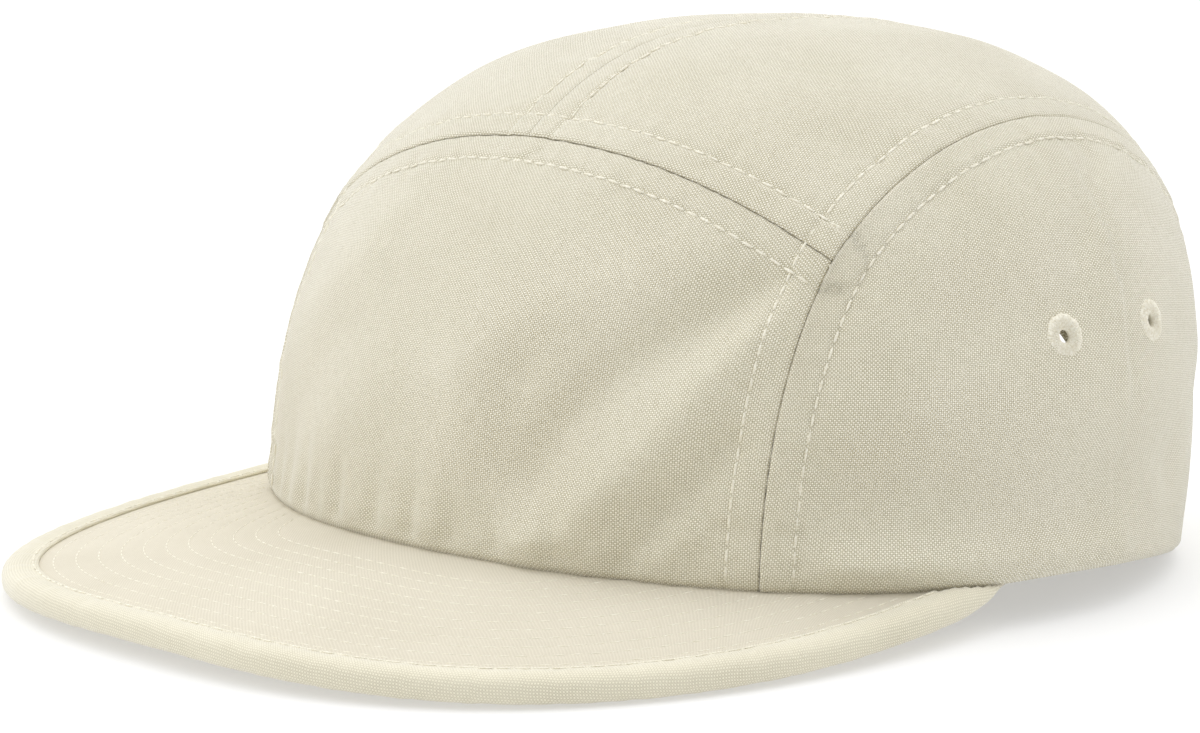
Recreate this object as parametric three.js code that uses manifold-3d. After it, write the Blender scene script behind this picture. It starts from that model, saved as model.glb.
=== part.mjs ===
// Five panel cap: a soft cloth crown of five sewn panels on a flat bound brim.
// Millimetres, +Z up. The brim points to -Y and the wearer's left is +X.
// The cap stands on Z = 0 on the back of its rim and on the sides of the brim's edge.
import * as THREE from 'three';
import { mergeVertices } from 'three/addons/utils/BufferGeometryUtils.js';
import Module from 'manifold-3d';

const wasm = await Module();
wasm.setup();

// Crown: an oval rim that rises straight and then turns over to a flat dome
const crownHalfWidth = 97.5;
const crownFrontReach = 83.7;
const crownBackReach = 89.7;
const crownHeight = 104;
const rimFrontPower = 2.03;
const rimBackPower = 1.85;
const domeRise = 3.5;
const domeRound = 2.48;
const frontSwell = 0.072;
const crownLean = 15.1;
const leanEarly = 1.28;      // above 1 the lean comes mostly in the lower part of the crown
const hubBack = 12;

// Cloth and the gaps between sewn pieces
const clothWall = 1.4;
const seamGap = 0.3;
const seamRoll = 1.8;
const seamSink = 0.55;

// Seams between the five panels
const sideSeamHalfWidth = 67.6;
const sideSeamBackHalfWidth = 51;
const sideSeamTaper = 2.5;
const sideSeamSwell = 4.3;
const arcSeamAngle = 53.1;
const arcSeamDrop = 2.3;

// Rim behind the brim: it comes down to the surface and stays flat round the back
const rimFlatFrom = 67;

// Brim
const brimHalfWidth = crownHalfWidth;
const brimReach = 62.5;
const brimSpringBack = 63;
const brimPower = 2.72;
const brimEndTuck = 3.4;
const brimEndStart = 0.42;
const brimThickness = 2.6;
const brimArch = 7;
const brimPitch = 0.067;
const brimRestClearance = 0.1;

// Binding folded over the brim's edge
const bindingWidth = 7.6;
const bindingWall = 1;
const bindingSections = 42;

// Back opening and the strap that closes it
const archHalfWidth = 33;
const archHeight = 37;
const strapHeight = 20;
const strapThickness = 1.6;
const strapLift = 3.5;
const strapOverlap = 11;
const buckleLength = 13;
const buckleWall = 2.2;
const buckleClearance = 0.6;

// Sweatband inside the rim
const sweatbandHeight = 28;
const sweatbandThickness = 1.2;
const sweatbandLift = 0.8;

// Eyelets in the side panels
const eyeletHeight = 51.2;
const eyeletFrontPlace = -7.9;
const eyeletSpacing = 26.3;
const eyeletFlangeRadius = 4.2;
const eyeletBarrelRadius = 2.6;
const eyeletBoreRadius = 1.4;
const eyeletFlange = 0.8;
const eyeletFit = 0.5;
const eyeletSides = 14;

// Folds and dents of the soft cloth. A row lies on the front, the side or the top of the crown.
// across and up place its middle, as shares of the crown's half width and height,
// length and width are shares of the crown's height, turn is in degrees,
// and depth is a share of foldDepth, below zero for a hollow.
const foldDepth = 2;
const folds = [
  { face: 'front', across: 0.43, up: 0.33, length: 0.34, width: 0.085, turn: 48, depth: 0.8 },
  { face: 'front', across: 0.34, up: 0.46, length: 0.32, width: 0.08, turn: 42, depth: -0.7 },
  { face: 'front', across: 0.52, up: 0.2, length: 0.2, width: 0.07, turn: 52, depth: -0.7 },
  { face: 'front', across: 0.5, up: 0.1, length: 0.09, width: 0.04, turn: 30, depth: 0.45 },
  { face: 'front', across: -0.4, up: 0.4, length: 0.3, width: 0.1, turn: -60, depth: -0.4 },
  { face: 'side', across: -0.15, up: 0.235, length: 0.45, width: 0.09, turn: -4, depth: -0.85 },
  { face: 'side', across: -0.22, up: 0.1, length: 0.42, width: 0.05, turn: -3, depth: 0.6 },
  { face: 'side', across: 0.08, up: 0.63, length: 0.16, width: 0.05, turn: 86, depth: -0.5 },
  { face: 'side', across: 0.45, up: 0.3, length: 0.3, width: 0.12, turn: 20, depth: -0.5 },
  { face: 'top', across: 0.5, up: -0.22, length: 0.16, width: 0.09, turn: -35, depth: -0.6 },
  { face: 'top', across: -0.5, up: 0.2, length: 0.25, width: 0.12, turn: 60, depth: -0.5 },
];

// Gathers where the front panel is eased onto the brim
const gatherPitch = 12.5;
const gatherDepth = 0.4;
const gatherHeight = 9;

// The folds die out this far from the side seams and from the rim
const foldFadeAtSeam = 6;
const foldFadeAtRim = 5;

// Fineness of the faceted walls, as columns across and rows up
const grids = {
  front: { columns: 31, rows: 15 },
  top: { columns: 13, rows: 21 },
  side: { columns: 23, rows: 12 },
  brim: { columns: 40, rows: 5 },
  sweatband: { columns: 46, rows: 2 },
  strap: { columns: 16, rows: 1 },
};

const clothColour = 0xe9e3d1;
const bindingColour = 0xe4dcc6;
const bandColour = 0xe0d9c4;
const strapColour = 0xded6c0;
const buckleColour = 0xd9d2bd;
const threadColour = 0xeee8d8;

const mix = THREE.MathUtils.lerp;
const clamp = THREE.MathUtils.clamp;
const smooth = THREE.MathUtils.smoothstep;
const radians = THREE.MathUtils.degToRad;

// Crown surface
function leanAt(share) {
  return crownLean * (leanEarly * share + (1 - leanEarly) * share ** 2);
}

function domeAt(x, z, front) {
  const share = clamp(z / crownHeight, 0, 1);
  const narrowing = (1 - share ** domeRise) ** (1 / domeRound);
  const middle = Math.sqrt(Math.max(0, 1 - (x / crownHalfWidth) ** 2));
  const swell = front ? frontSwell * middle * 4 * share * (1 - share) ** 2 : 0;
  return narrowing * (1 + swell);
}

// Below zero inside the crown, zero on its surface
function crownField(x, y, z) {
  const run = y - leanAt(clamp(z / crownHeight, 0, 1));
  const front = run < 0;
  const power = front ? rimFrontPower : rimBackPower;
  const reach = front ? crownFrontReach : crownBackReach;
  const size = domeAt(x, z, front);
  return (Math.abs(x) / crownHalfWidth) ** power + (Math.abs(run) / reach) ** power - size ** power;
}

function alongRay(start, direction) {
  let near = 0;
  let far = 2 * (crownHalfWidth + crownHeight);
  for (let i = 0; i < 46; i++) {
    const half = (near + far) / 2;
    const spot = start.clone().addScaledVector(direction, half);
    if (spot.z < crownHeight && crownField(spot.x, spot.y, spot.z) < 0) near = half;
    else far = half;
  }
  return start.clone().addScaledVector(direction, near);
}

// The crown's section at one x, with its angle measured from the front over the top to the back
function slicePoint(x, angle) {
  const direction = new THREE.Vector3(0, -Math.cos(angle), Math.sin(angle));
  return alongRay(new THREE.Vector3(x, hubBack, 0), direction);
}

function onCrown(point) {
  const hub = new THREE.Vector3(0, hubBack, 0);
  return alongRay(hub, point.clone().sub(hub).normalize());
}

function sideOfCrown(x, z, side) {
  const front = side < 0;
  const power = front ? rimFrontPower : rimBackPower;
  const reach = front ? crownFrontReach : crownBackReach;
  const size = domeAt(x, z, front);
  const rest = Math.max(0, size ** power - (Math.abs(x) / crownHalfWidth) ** power);
  return leanAt(clamp(z / crownHeight, 0, 1)) + side * reach * rest ** (1 / power);
}

function sliceAngle(x, z, side) {
  return Math.atan2(z, hubBack - sideOfCrown(x, z, side));
}

function normalAt(point) {
  const step = 0.02;
  const slope = (dx, dy, dz) => crownField(point.x + dx, point.y + dy, point.z + dz)
    - crownField(point.x - dx, point.y - dy, point.z - dz);
  return new THREE.Vector3(slope(step, 0, 0), slope(0, step, 0), slope(0, 0, step)).normalize();
}

// Brim surface
function brimOutline(turn) {
  const endShare = Math.min(1, Math.sin(turn) / brimEndStart);
  const half = brimHalfWidth - brimEndTuck * (1 - endShare) ** 2;
  const cos = Math.cos(turn);
  const x = half * Math.sign(cos) * Math.abs(cos) ** (2 / brimPower);
  const springLine = brimSpringBack - crownFrontReach;
  const y = springLine - (brimReach + brimSpringBack) * Math.sin(turn) ** (2 / brimPower);
  return new THREE.Vector2(x, y);
}

function brimInward(turn) {
  const before = brimOutline(Math.max(0.0005, turn - 0.01));
  const after = brimOutline(Math.min(Math.PI - 0.0005, turn + 0.01));
  const along = after.sub(before).normalize();
  return new THREE.Vector2(along.y, -along.x);
}

function brimForm(x, y) {
  return brimPitch * (y + crownFrontReach) - brimArch * (x / crownHalfWidth) ** 2;
}

const endTurn = 0.004;
const edgeTurns = Array.from({ length: bindingSections + 1 }, (_, i) => Math.PI * i / bindingSections);
const lowestForm = Math.min(...edgeTurns.map((turn) => {
  const spot = brimOutline(turn);
  return brimForm(spot.x, spot.y);
}));
const brimRoot = brimRestClearance + brimThickness + seamGap + bindingWall - lowestForm;

function brimTop(x, y) {
  return brimRoot + brimForm(x, y);
}

// Height of the crown's lower edge: on the brim in front, then down to the surface
function rimHeight(x, y) {
  const behind = smooth(y, brimSpringBack - crownFrontReach, rimFlatFrom);
  return (brimTop(x, y) + seamGap) * (1 - behind);
}

function rimPoint(x, side) {
  let spot = new THREE.Vector3(x, sideOfCrown(x, 0, side), 0);
  for (let i = 0; i < 4; i++) {
    const z = rimHeight(spot.x, spot.y);
    spot = new THREE.Vector3(x, sideOfCrown(x, z, side), z);
  }
  return spot;
}

function rimAround(angle) {
  const direction = new THREE.Vector3(Math.sin(angle), -Math.cos(angle), 0);
  let z = 0;
  let spot = new THREE.Vector3();
  for (let i = 0; i < 4; i++) {
    spot = alongRay(new THREE.Vector3(0, hubBack, z), direction);
    z = rimHeight(spot.x, spot.y);
  }
  return spot.setZ(z);
}

// Folds push the cloth in or out along its normal
function foldCharts(point) {
  const side = (point.y - hubBack) / crownHalfWidth;
  return {
    front: [point.x / crownHalfWidth, point.z / crownHeight, point.y < -crownFrontReach / 3],
    side: [side, point.z / crownHeight, Math.abs(point.x) > sideSeamHalfWidth],
    top: [point.x / crownHalfWidth, side, point.z > crownHeight / 2],
  };
}

function foldAt(point) {
  const charts = foldCharts(point);
  let push = 0;
  for (const fold of folds) {
    const [across, up, there] = charts[fold.face];
    if (!there) continue;
    const dx = (across - fold.across) * crownHalfWidth / crownHeight;
    const dy = (up - fold.up) * (fold.face === 'top' ? crownHalfWidth / crownHeight : 1);
    const turn = radians(fold.turn);
    const along = dx * Math.cos(turn) + dy * Math.sin(turn);
    const over = dy * Math.cos(turn) - dx * Math.sin(turn);
    push += fold.depth * Math.exp(-((along / fold.length) ** 2) - (over / fold.width) ** 2);
  }
  return push * foldDepth;
}

// The folds die out at the seams, which hold the cloth where it was cut
function seamHold(point) {
  const toSide = Math.abs(Math.abs(point.x) - sideSeamHalfWidth);
  const toRim = point.z - rimHeight(point.x, point.y);
  return smooth(toSide, 0, foldFadeAtSeam) * smooth(toRim, 0, foldFadeAtRim);
}

function gatherAt(point) {
  const up = point.z - rimHeight(point.x, point.y);
  const front = smooth(-point.y, crownFrontReach / 2, crownFrontReach * 0.7);
  const fade = front * Math.exp(-((up / gatherHeight) ** 2));
  return gatherDepth * fade * Math.cos(2 * Math.PI * point.x / gatherPitch);
}

function skin(point, normal, sink = 0) {
  const push = foldAt(point) * seamHold(point) + gatherAt(point) - sink;
  return point.clone().addScaledVector(normal, push);
}

// Closed bodies
function bodyOf(points, faces) {
  const geometry = new THREE.BufferGeometry();
  geometry.setAttribute('position', new THREE.Float32BufferAttribute(points.flatMap((p) => [p.x, p.y, p.z]), 3));
  geometry.setIndex(faces.flat());
  return facingOut(geometry);
}

function facingOut(geometry) {
  const place = geometry.attributes.position;
  const index = geometry.index.array;
  const corner = (i) => new THREE.Vector3().fromBufferAttribute(place, index[i]);
  let volume = 0;
  for (let i = 0; i < index.length; i += 3) volume += corner(i).dot(corner(i + 1).cross(corner(i + 2)));
  if (volume < 0) {
    for (let i = 0; i < index.length; i += 3) [index[i], index[i + 1]] = [index[i + 1], index[i]];
  }
  return geometry;
}

// A wall between two like grids of points
function wallBody(outer, inner) {
  const rows = outer.length;
  const columns = outer[0].length;
  const points = [...outer.flat(), ...inner.flat()];
  const at = (layer, i, j) => layer * rows * columns + i * columns + j;
  const faces = [];
  const quad = (a, b, c, d) => faces.push([a, b, c], [a, c, d]);
  for (let i = 0; i < rows - 1; i++) {
    for (let j = 0; j < columns - 1; j++) {
      quad(at(0, i, j), at(0, i, j + 1), at(0, i + 1, j + 1), at(0, i + 1, j));
      quad(at(1, i, j), at(1, i + 1, j), at(1, i + 1, j + 1), at(1, i, j + 1));
    }
    quad(at(0, i, 0), at(0, i + 1, 0), at(1, i + 1, 0), at(1, i, 0));
    quad(at(0, i + 1, columns - 1), at(0, i, columns - 1), at(1, i, columns - 1), at(1, i + 1, columns - 1));
  }
  for (let j = 0; j < columns - 1; j++) {
    quad(at(0, 0, j + 1), at(0, 0, j), at(1, 0, j), at(1, 0, j + 1));
    quad(at(0, rows - 1, j), at(0, rows - 1, j + 1), at(1, rows - 1, j + 1), at(1, rows - 1, j));
  }
  return bodyOf(points, faces);
}

// A closed section carried along a row of places
function sweptBody(sections, ends) {
  const count = sections[0].length;
  const points = sections.flat();
  const faces = [];
  for (let i = 0; i < sections.length - 1; i++) {
    for (let j = 0; j < count; j++) {
      const next = (j + 1) % count;
      const a = i * count + j;
      const b = i * count + next;
      faces.push([a, b, b + count], [a, b + count, a + count]);
    }
  }
  const caps = THREE.ShapeUtils.triangulateShape(ends, []);
  const last = (sections.length - 1) * count;
  const turned = THREE.ShapeUtils.area(ends) * THREE.ShapeUtils.area(caps[0].map((k) => ends[k])) < 0;
  caps.forEach((cap) => {
    const [a, b, c] = turned ? [...cap].reverse() : cap;
    faces.push([c, b, a], [last + a, last + b, last + c]);
  });
  return bodyOf(points, faces);
}

// Shares along a panel, with a close line beside each seam for the rolled edge
function sharesOf(steps, length) {
  const edge = seamRoll / length;
  const inside = Array.from({ length: steps - 1 }, (_, i) => mix(edge, 1 - edge, i / (steps - 2)));
  return [0, ...inside, 1];
}

// A panel's wall from a function of two shares that gives points on the crown
function panelWall(pointAt, acrossShares, upShares, rimRow) {
  const outer = [];
  const inner = [];
  upShares.forEach((v, i) => {
    const edgeRow = i === 0 || i === upShares.length - 1;
    outer.push([]);
    inner.push([]);
    acrossShares.forEach((u, j) => {
      const point = pointAt(u, v);
      const normal = normalAt(point);
      const onRim = rimRow && i === rimRow.row(upShares.length) && rimRow.holds(u);
      if (onRim) normal.setZ(0).normalize();
      const onEdge = edgeRow || j === 0 || j === acrossShares.length - 1;
      const face = skin(point, normal, onEdge && !onRim ? seamSink : 0);
      outer[i].push(face);
      inner[i].push(face.clone().addScaledVector(normal, -clothWall));
    });
  });
  return wallBody(outer, inner);
}

function arcAngle(x) {
  return radians(arcSeamAngle - arcSeamDrop * (x / sideSeamHalfWidth) ** 2);
}

const halfGap = seamGap / 2;
const gapAngle = halfGap / crownHeight;

// Front panel, from temple to temple
function frontPanel() {
  const half = sideSeamHalfWidth - halfGap;
  const pointAt = (u, v) => {
    const x = mix(-half, half, u);
    if (v === 0) return rimPoint(x, -1);
    const foot = rimPoint(x, -1);
    const start = Math.atan2(foot.z, hubBack - foot.y);
    return slicePoint(x, mix(start, arcAngle(x) - gapAngle, v));
  };
  const rimRow = { row: () => 0, holds: () => true };
  const { columns, rows } = grids.front;
  return panelWall(pointAt, sharesOf(columns, 2 * half), sharesOf(rows, crownHeight), rimRow);
}

// Side seam of the top panels, from the arc seam's end over the top and down to the rim at the back
function seamSwellAt(share) {
  return sideSeamSwell * Math.sin(Math.PI * share);
}

function seamHalfWidthAt(share) {
  return mix(sideSeamHalfWidth, sideSeamBackHalfWidth, share ** sideSeamTaper) + seamSwellAt(share);
}

function sideSeamPoint(share, offset) {
  const x = seamHalfWidthAt(share) + offset;
  const start = arcAngle(sideSeamHalfWidth);
  if (share === 1) return rimPoint(x, 1);
  return slicePoint(x, mix(start, sliceAngle(x, 0, 1), share));
}

// Top panel: its back edge runs along the back opening's arch and then along the rim
const archShare = 0.62;

function backEdge(u, innerEdge) {
  if (u >= archShare) {
    const outerEdge = sideSeamBackHalfWidth - halfGap;
    const share = (u - archShare) / (1 - archShare);
    return { x: mix(archHalfWidth, outerEdge, share), z: 0 };
  }
  const turn = Math.PI / 2 * u / archShare;
  return { x: Math.max(innerEdge, archHalfWidth * Math.sin(turn)), z: archHeight * Math.cos(turn) };
}

function topPanel(side) {
  const pointAt = (u, v) => {
    const start = mix(halfGap, sideSeamHalfWidth - halfGap, u);
    const end = backEdge(u, halfGap);
    const x = mix(start, end.x, v ** sideSeamTaper) + u * seamSwellAt(v);
    const last = sliceAngle(end.x, end.z, 1);
    if (v === 1) return new THREE.Vector3(end.x, sideOfCrown(end.x, end.z, 1), end.z);
    return slicePoint(x, mix(arcAngle(start) + gapAngle, last, v));
  };
  const mirrored = (u, v) => pointAt(u, v).multiply(new THREE.Vector3(side, 1, 1));
  const rimRow = { row: (count) => count - 1, holds: (u) => u >= archShare - 0.001 };
  const { columns, rows } = grids.top;
  const clear = (u) => Math.abs(u - archShare) > 0.4 / columns;
  const acrossShares = [...sharesOf(columns, sideSeamHalfWidth).filter(clear), archShare];
  acrossShares.sort((a, b) => a - b);
  const length = crownHeight + crownFrontReach + crownBackReach / 2;
  return panelWall(mirrored, acrossShares, sharesOf(rows, length), rimRow);
}

// Side panel: the rim below, the front seam, the top seam and the back seam round it
const sidePanelBackShare = 0.8;

function sidePanel(side) {
  const foot = rimPoint(sideSeamHalfWidth + halfGap, -1);
  const backFoot = rimPoint(sideSeamBackHalfWidth + halfGap, 1);
  const footAngle = Math.atan2(foot.x, hubBack - foot.y);
  const backAngle = Math.atan2(backFoot.x, hubBack - backFoot.y);
  const seamFoot = Math.atan2(foot.z, hubBack - foot.y);
  const frontSeam = (v) => (v === 0 ? foot.clone()
    : slicePoint(foot.x, mix(seamFoot, arcAngle(sideSeamHalfWidth), v)));
  const topSeam = (u) => sideSeamPoint(u * sidePanelBackShare, halfGap);
  const backSeam = (v) => sideSeamPoint(mix(1, sidePanelBackShare, v), halfGap);
  const bottom = (u) => {
    if (u === 0) return foot.clone();
    if (u === 1) return backFoot.clone();
    return rimAround(mix(footAngle, backAngle, u));
  };
  const pointAt = (u, v) => {
    if (v === 0) return bottom(u);
    if (v === 1) return topSeam(u);
    if (u === 0) return frontSeam(v);
    if (u === 1) return backSeam(v);
    const point = bottom(u).multiplyScalar(1 - v).addScaledVector(topSeam(u), v);
    point.addScaledVector(frontSeam(v), 1 - u).addScaledVector(backSeam(v), u);
    point.addScaledVector(foot, -(1 - u) * (1 - v)).addScaledVector(backFoot, -u * (1 - v));
    point.addScaledVector(topSeam(0), -(1 - u) * v).addScaledVector(topSeam(1), -u * v);
    return onCrown(point);
  };
  const mirrored = (u, v) => pointAt(u, v).multiply(new THREE.Vector3(side, 1, 1));
  const rimRow = { row: () => 0, holds: () => true };
  const { columns, rows } = grids.side;
  const length = crownFrontReach + crownBackReach;
  const wall = panelWall(mirrored, sharesOf(columns, length), sharesOf(rows, crownHeight), rimRow);
  return cutAway(wall, eyeletPlaces.map((place) => eyeletCutter(place, side)));
}

// Joins and cuts
function solidOf(geometry) {
  const plain = geometry.clone();
  plain.deleteAttribute('normal');
  plain.deleteAttribute('uv');
  const merged = mergeVertices(plain, 1e-4);
  return new wasm.Manifold(new wasm.Mesh({
    numProp: 3,
    vertProperties: new Float32Array(merged.attributes.position.array),
    triVerts: new Uint32Array(merged.index.array),
  }));
}

function cutAway(geometry, cutters) {
  const left = cutters.reduce((solid, cutter) => solid.subtract(solidOf(cutter)), solidOf(geometry));
  const mesh = left.getMesh();
  const result = new THREE.BufferGeometry();
  result.setAttribute('position', new THREE.Float32BufferAttribute(mesh.vertProperties, 3));
  result.setIndex(Array.from(mesh.triVerts));
  return result;
}

// Eyelets
const eyeletPlaces = [
  { name: 'front', y: eyeletFrontPlace },
  { name: 'rear', y: eyeletFrontPlace + eyeletSpacing },
];

function eyeletSeat(place, side) {
  const across = new THREE.Vector3(1, 0, 0);
  const point = alongRay(new THREE.Vector3(0, place.y, eyeletHeight), across);
  const normal = normalAt(point);
  const middle = skin(point, normal).addScaledVector(normal, -clothWall / 2);
  const flip = new THREE.Vector3(side, 1, 1);
  return { middle: middle.multiply(flip), normal: normal.multiply(flip) };
}

function seated(geometry, seat) {
  const turn = new THREE.Quaternion().setFromUnitVectors(new THREE.Vector3(0, 1, 0), seat.normal);
  return geometry.applyQuaternion(turn).translate(seat.middle.x, seat.middle.y, seat.middle.z);
}

function eyeletCutter(place, side) {
  const radius = eyeletBarrelRadius + seamGap;
  return seated(new THREE.CylinderGeometry(radius, radius, 6 * clothWall, eyeletSides), eyeletSeat(place, side));
}

function eyelet(place, side) {
  const seat = clothWall / 2 + eyeletFit;
  const top = seat + eyeletFlange;
  const profile = [
    [eyeletBoreRadius, -top * 0.7],
    [eyeletBarrelRadius, -top],
    [eyeletFlangeRadius, -seat],
    [eyeletBarrelRadius, -seat],
    [eyeletBarrelRadius, seat],
    [eyeletFlangeRadius, seat],
    [eyeletBarrelRadius, top],
    [eyeletBoreRadius, top * 0.7],
    [eyeletBoreRadius, -top * 0.7],
  ].map(([radius, height]) => new THREE.Vector2(radius, height));
  const ring = new THREE.LatheGeometry(profile, eyeletSides);
  ring.deleteAttribute('normal');
  ring.deleteAttribute('uv');
  return facingOut(seated(mergeVertices(ring, 1e-4), eyeletSeat(place, side)));
}

// Brim: a flat board covered with cloth, under the front edge of the crown
function brimInner(turn) {
  const edge = brimOutline(turn);
  const hub = new THREE.Vector3(0, brimSpringBack - crownFrontReach, 0);
  const direction = new THREE.Vector3(edge.x, edge.y, 0).sub(hub).normalize();
  let spot = alongRay(hub, direction);
  for (let i = 0; i < 4; i++) spot = alongRay(hub.clone().setZ(brimTop(spot.x, spot.y)), direction);
  const normal = normalAt(spot).setZ(0).normalize();
  return spot.addScaledVector(normal, -clothWall);
}

function brim() {
  const { columns, rows } = grids.brim;
  const top = [];
  const bottom = [];
  for (let i = 0; i <= rows; i++) {
    top.push([]);
    bottom.push([]);
    for (let j = 0; j <= columns; j++) {
      const turn = mix(endTurn, Math.PI - endTurn, j / columns);
      const inward = brimInward(turn);
      const edge = brimOutline(turn).addScaledVector(inward, bindingWall + seamGap);
      const root = brimInner(turn);
      const x = mix(root.x, edge.x, i / rows);
      const y = mix(root.y, edge.y, i / rows);
      top[i].push(new THREE.Vector3(x, y, brimTop(x, y)));
      bottom[i].push(new THREE.Vector3(x, y, brimTop(x, y) - brimThickness));
    }
  }
  return wallBody(top, bottom);
}

// Binding: a folded strip whose section wraps the brim's edge with the edge rounded
const slotHalf = brimThickness / 2 + seamGap;
const sectionPlan = [
  [1, slotHalf],
  [0.94, slotHalf + bindingWall * 0.75],
  [0.6, slotHalf + bindingWall],
  [0.26, slotHalf + bindingWall * 0.9],
  [0.08, slotHalf + bindingWall * 0.3],
  [0, slotHalf * 0.35],
  [0, -slotHalf * 0.35],
  [0.08, -slotHalf - bindingWall * 0.3],
  [0.26, -slotHalf - bindingWall * 0.9],
  [0.6, -slotHalf - bindingWall],
  [0.94, -slotHalf - bindingWall * 0.75],
  [1, -slotHalf],
  [bindingWall / bindingWidth, -slotHalf],
  [bindingWall / bindingWidth, slotHalf],
].map(([inward, height]) => new THREE.Vector2(inward * bindingWidth, height));

function brimBinding() {
  const sections = edgeTurns.map((turn) => {
    const held = clamp(turn, endTurn, Math.PI - endTurn);
    const inward = brimInward(held);
    return sectionPlan.map(({ x: reach, y: height }) => {
      const spot = brimOutline(held).addScaledVector(inward, reach);
      return new THREE.Vector3(spot.x, spot.y, brimTop(spot.x, spot.y) - brimThickness / 2 + height);
    });
  });
  return cutAway(sweptBody(sections, sectionPlan), [crownCore()]);
}

// The space that the crown takes, with a gap round it, where the binding's ends run up to it
function crownCore() {
  const heights = [-0.12, 0, 0.04, 0.08, 0.12, 0.18, 0.25].map((share) => share * crownHeight);
  const around = 64;
  const points = [];
  const faces = [];
  heights.forEach((z) => {
    for (let j = 0; j < around; j++) {
      const angle = 2 * Math.PI * j / around;
      const direction = new THREE.Vector3(Math.sin(angle), -Math.cos(angle), 0);
      const spot = alongRay(new THREE.Vector3(0, hubBack, z), direction);
      const normal = normalAt(spot).setZ(0).normalize();
      const lift = Math.max(0, foldAt(spot)) + gatherDepth + seamGap;
      points.push(spot.addScaledVector(normal, lift));
    }
  });
  const rings = heights.length;
  const middle = points.length;
  points.push(new THREE.Vector3(0, hubBack, heights[0]), new THREE.Vector3(0, hubBack, heights[rings - 1]));
  for (let j = 0; j < around; j++) {
    const next = (j + 1) % around;
    for (let i = 0; i < rings - 1; i++) {
      const a = i * around + j;
      const b = i * around + next;
      faces.push([a, b, b + around], [a, b + around, a + around]);
    }
    faces.push([middle, next, j]);
    faces.push([middle + 1, (rings - 1) * around + j, (rings - 1) * around + next]);
  }
  return bodyOf(points, faces);
}

// Sweatband: a band inside the rim, open at the back where the strap crosses
const strapEnd = archHalfWidth + strapOverlap;

function insideRim(angle, up, depth) {
  const rim = rimAround(angle);
  const direction = new THREE.Vector3(Math.sin(angle), -Math.cos(angle), 0);
  const spot = alongRay(new THREE.Vector3(0, hubBack, Math.max(0, rim.z + up)), direction);
  const normal = normalAt(spot).setZ(0).normalize();
  const fold = Math.min(0, foldAt(spot) * seamHold(spot)) - gatherDepth;
  const inset = clothWall + seamSink + seamGap + depth - fold;
  return spot.addScaledVector(normal, -inset).setZ(rim.z + up);
}

function sweatband() {
  const end = rimPoint(strapEnd + 2 * seamGap, 1);
  const endAngle = Math.atan2(end.x, hubBack - end.y);
  const { columns, rows } = grids.sweatband;
  const outer = [];
  const inner = [];
  for (let i = 0; i <= rows; i++) {
    const up = mix(sweatbandLift, sweatbandHeight, i / rows);
    const around = Array.from({ length: columns + 1 }, (_, j) => mix(-endAngle, endAngle, j / columns));
    outer.push(around.map((angle) => insideRim(angle, up, 0)));
    inner.push(around.map((angle) => insideRim(angle, up, sweatbandThickness)));
  }
  return wallBody(outer, inner);
}

// Back strap and the plain slider on it
function backStrap() {
  const end = rimPoint(strapEnd, 1);
  const first = Math.atan2(end.x, hubBack - end.y);
  const { columns, rows } = grids.strap;
  const around = Array.from({ length: columns + 1 }, (_, j) => mix(first, 2 * Math.PI - first, j / columns));
  const levels = Array.from({ length: rows + 1 }, (_, i) => strapLift + strapHeight * i / rows);
  const outer = levels.map((up) => around.map((angle) => insideRim(angle, up, 0)));
  const inner = levels.map((up) => around.map((angle) => insideRim(angle, up, strapThickness)));
  return wallBody(outer, inner);
}

function strapBuckle() {
  const low = insideRim(Math.PI, strapLift, strapThickness / 2);
  const high = insideRim(Math.PI, strapLift + strapHeight, strapThickness / 2);
  const middle = low.clone().lerp(high, 0.5);
  const lean = Math.atan2(high.y - low.y, high.z - low.z);
  const outerHeight = strapHeight + 2 * (buckleClearance + buckleWall);
  const outerDepth = strapThickness + 2 * (buckleClearance + buckleWall);
  const shape = new THREE.Shape();
  const corner = 1;
  const w = outerDepth / 2;
  const h = outerHeight / 2;
  shape.moveTo(-w + corner, -h).lineTo(w - corner, -h).lineTo(w, -h + corner).lineTo(w, h - corner);
  shape.lineTo(w - corner, h).lineTo(-w + corner, h).lineTo(-w, h - corner).lineTo(-w, -h + corner);
  shape.closePath();
  const slot = new THREE.Path();
  const a = strapThickness / 2 + buckleClearance;
  const b = strapHeight / 2 + buckleClearance;
  slot.moveTo(-a, -b).lineTo(-a, b).lineTo(a, b).lineTo(a, -b).closePath();
  shape.holes.push(slot);
  const body = new THREE.ExtrudeGeometry(shape, { depth: buckleLength, bevelEnabled: false });
  body.translate(0, 0, -buckleLength / 2);
  const frame = new THREE.Matrix4().makeBasis(
    new THREE.Vector3(0, 1, 0), new THREE.Vector3(0, 0, 1), new THREE.Vector3(1, 0, 0));
  body.applyMatrix4(frame);
  body.applyMatrix4(new THREE.Matrix4().makeRotationX(-lean));
  body.translate(middle.x, middle.y, middle.z);
  body.deleteAttribute('normal');
  body.deleteAttribute('uv');
  return facingOut(mergeVertices(body, 1e-4));
}

function piece(name, geometry, colour, roughness = 0.95, metalness = 0) {
  const material = new THREE.MeshStandardMaterial({ color: colour, roughness, metalness, flatShading: true });
  const mesh = new THREE.Mesh(geometry, material);
  mesh.name = name;
  return mesh;
}

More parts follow.
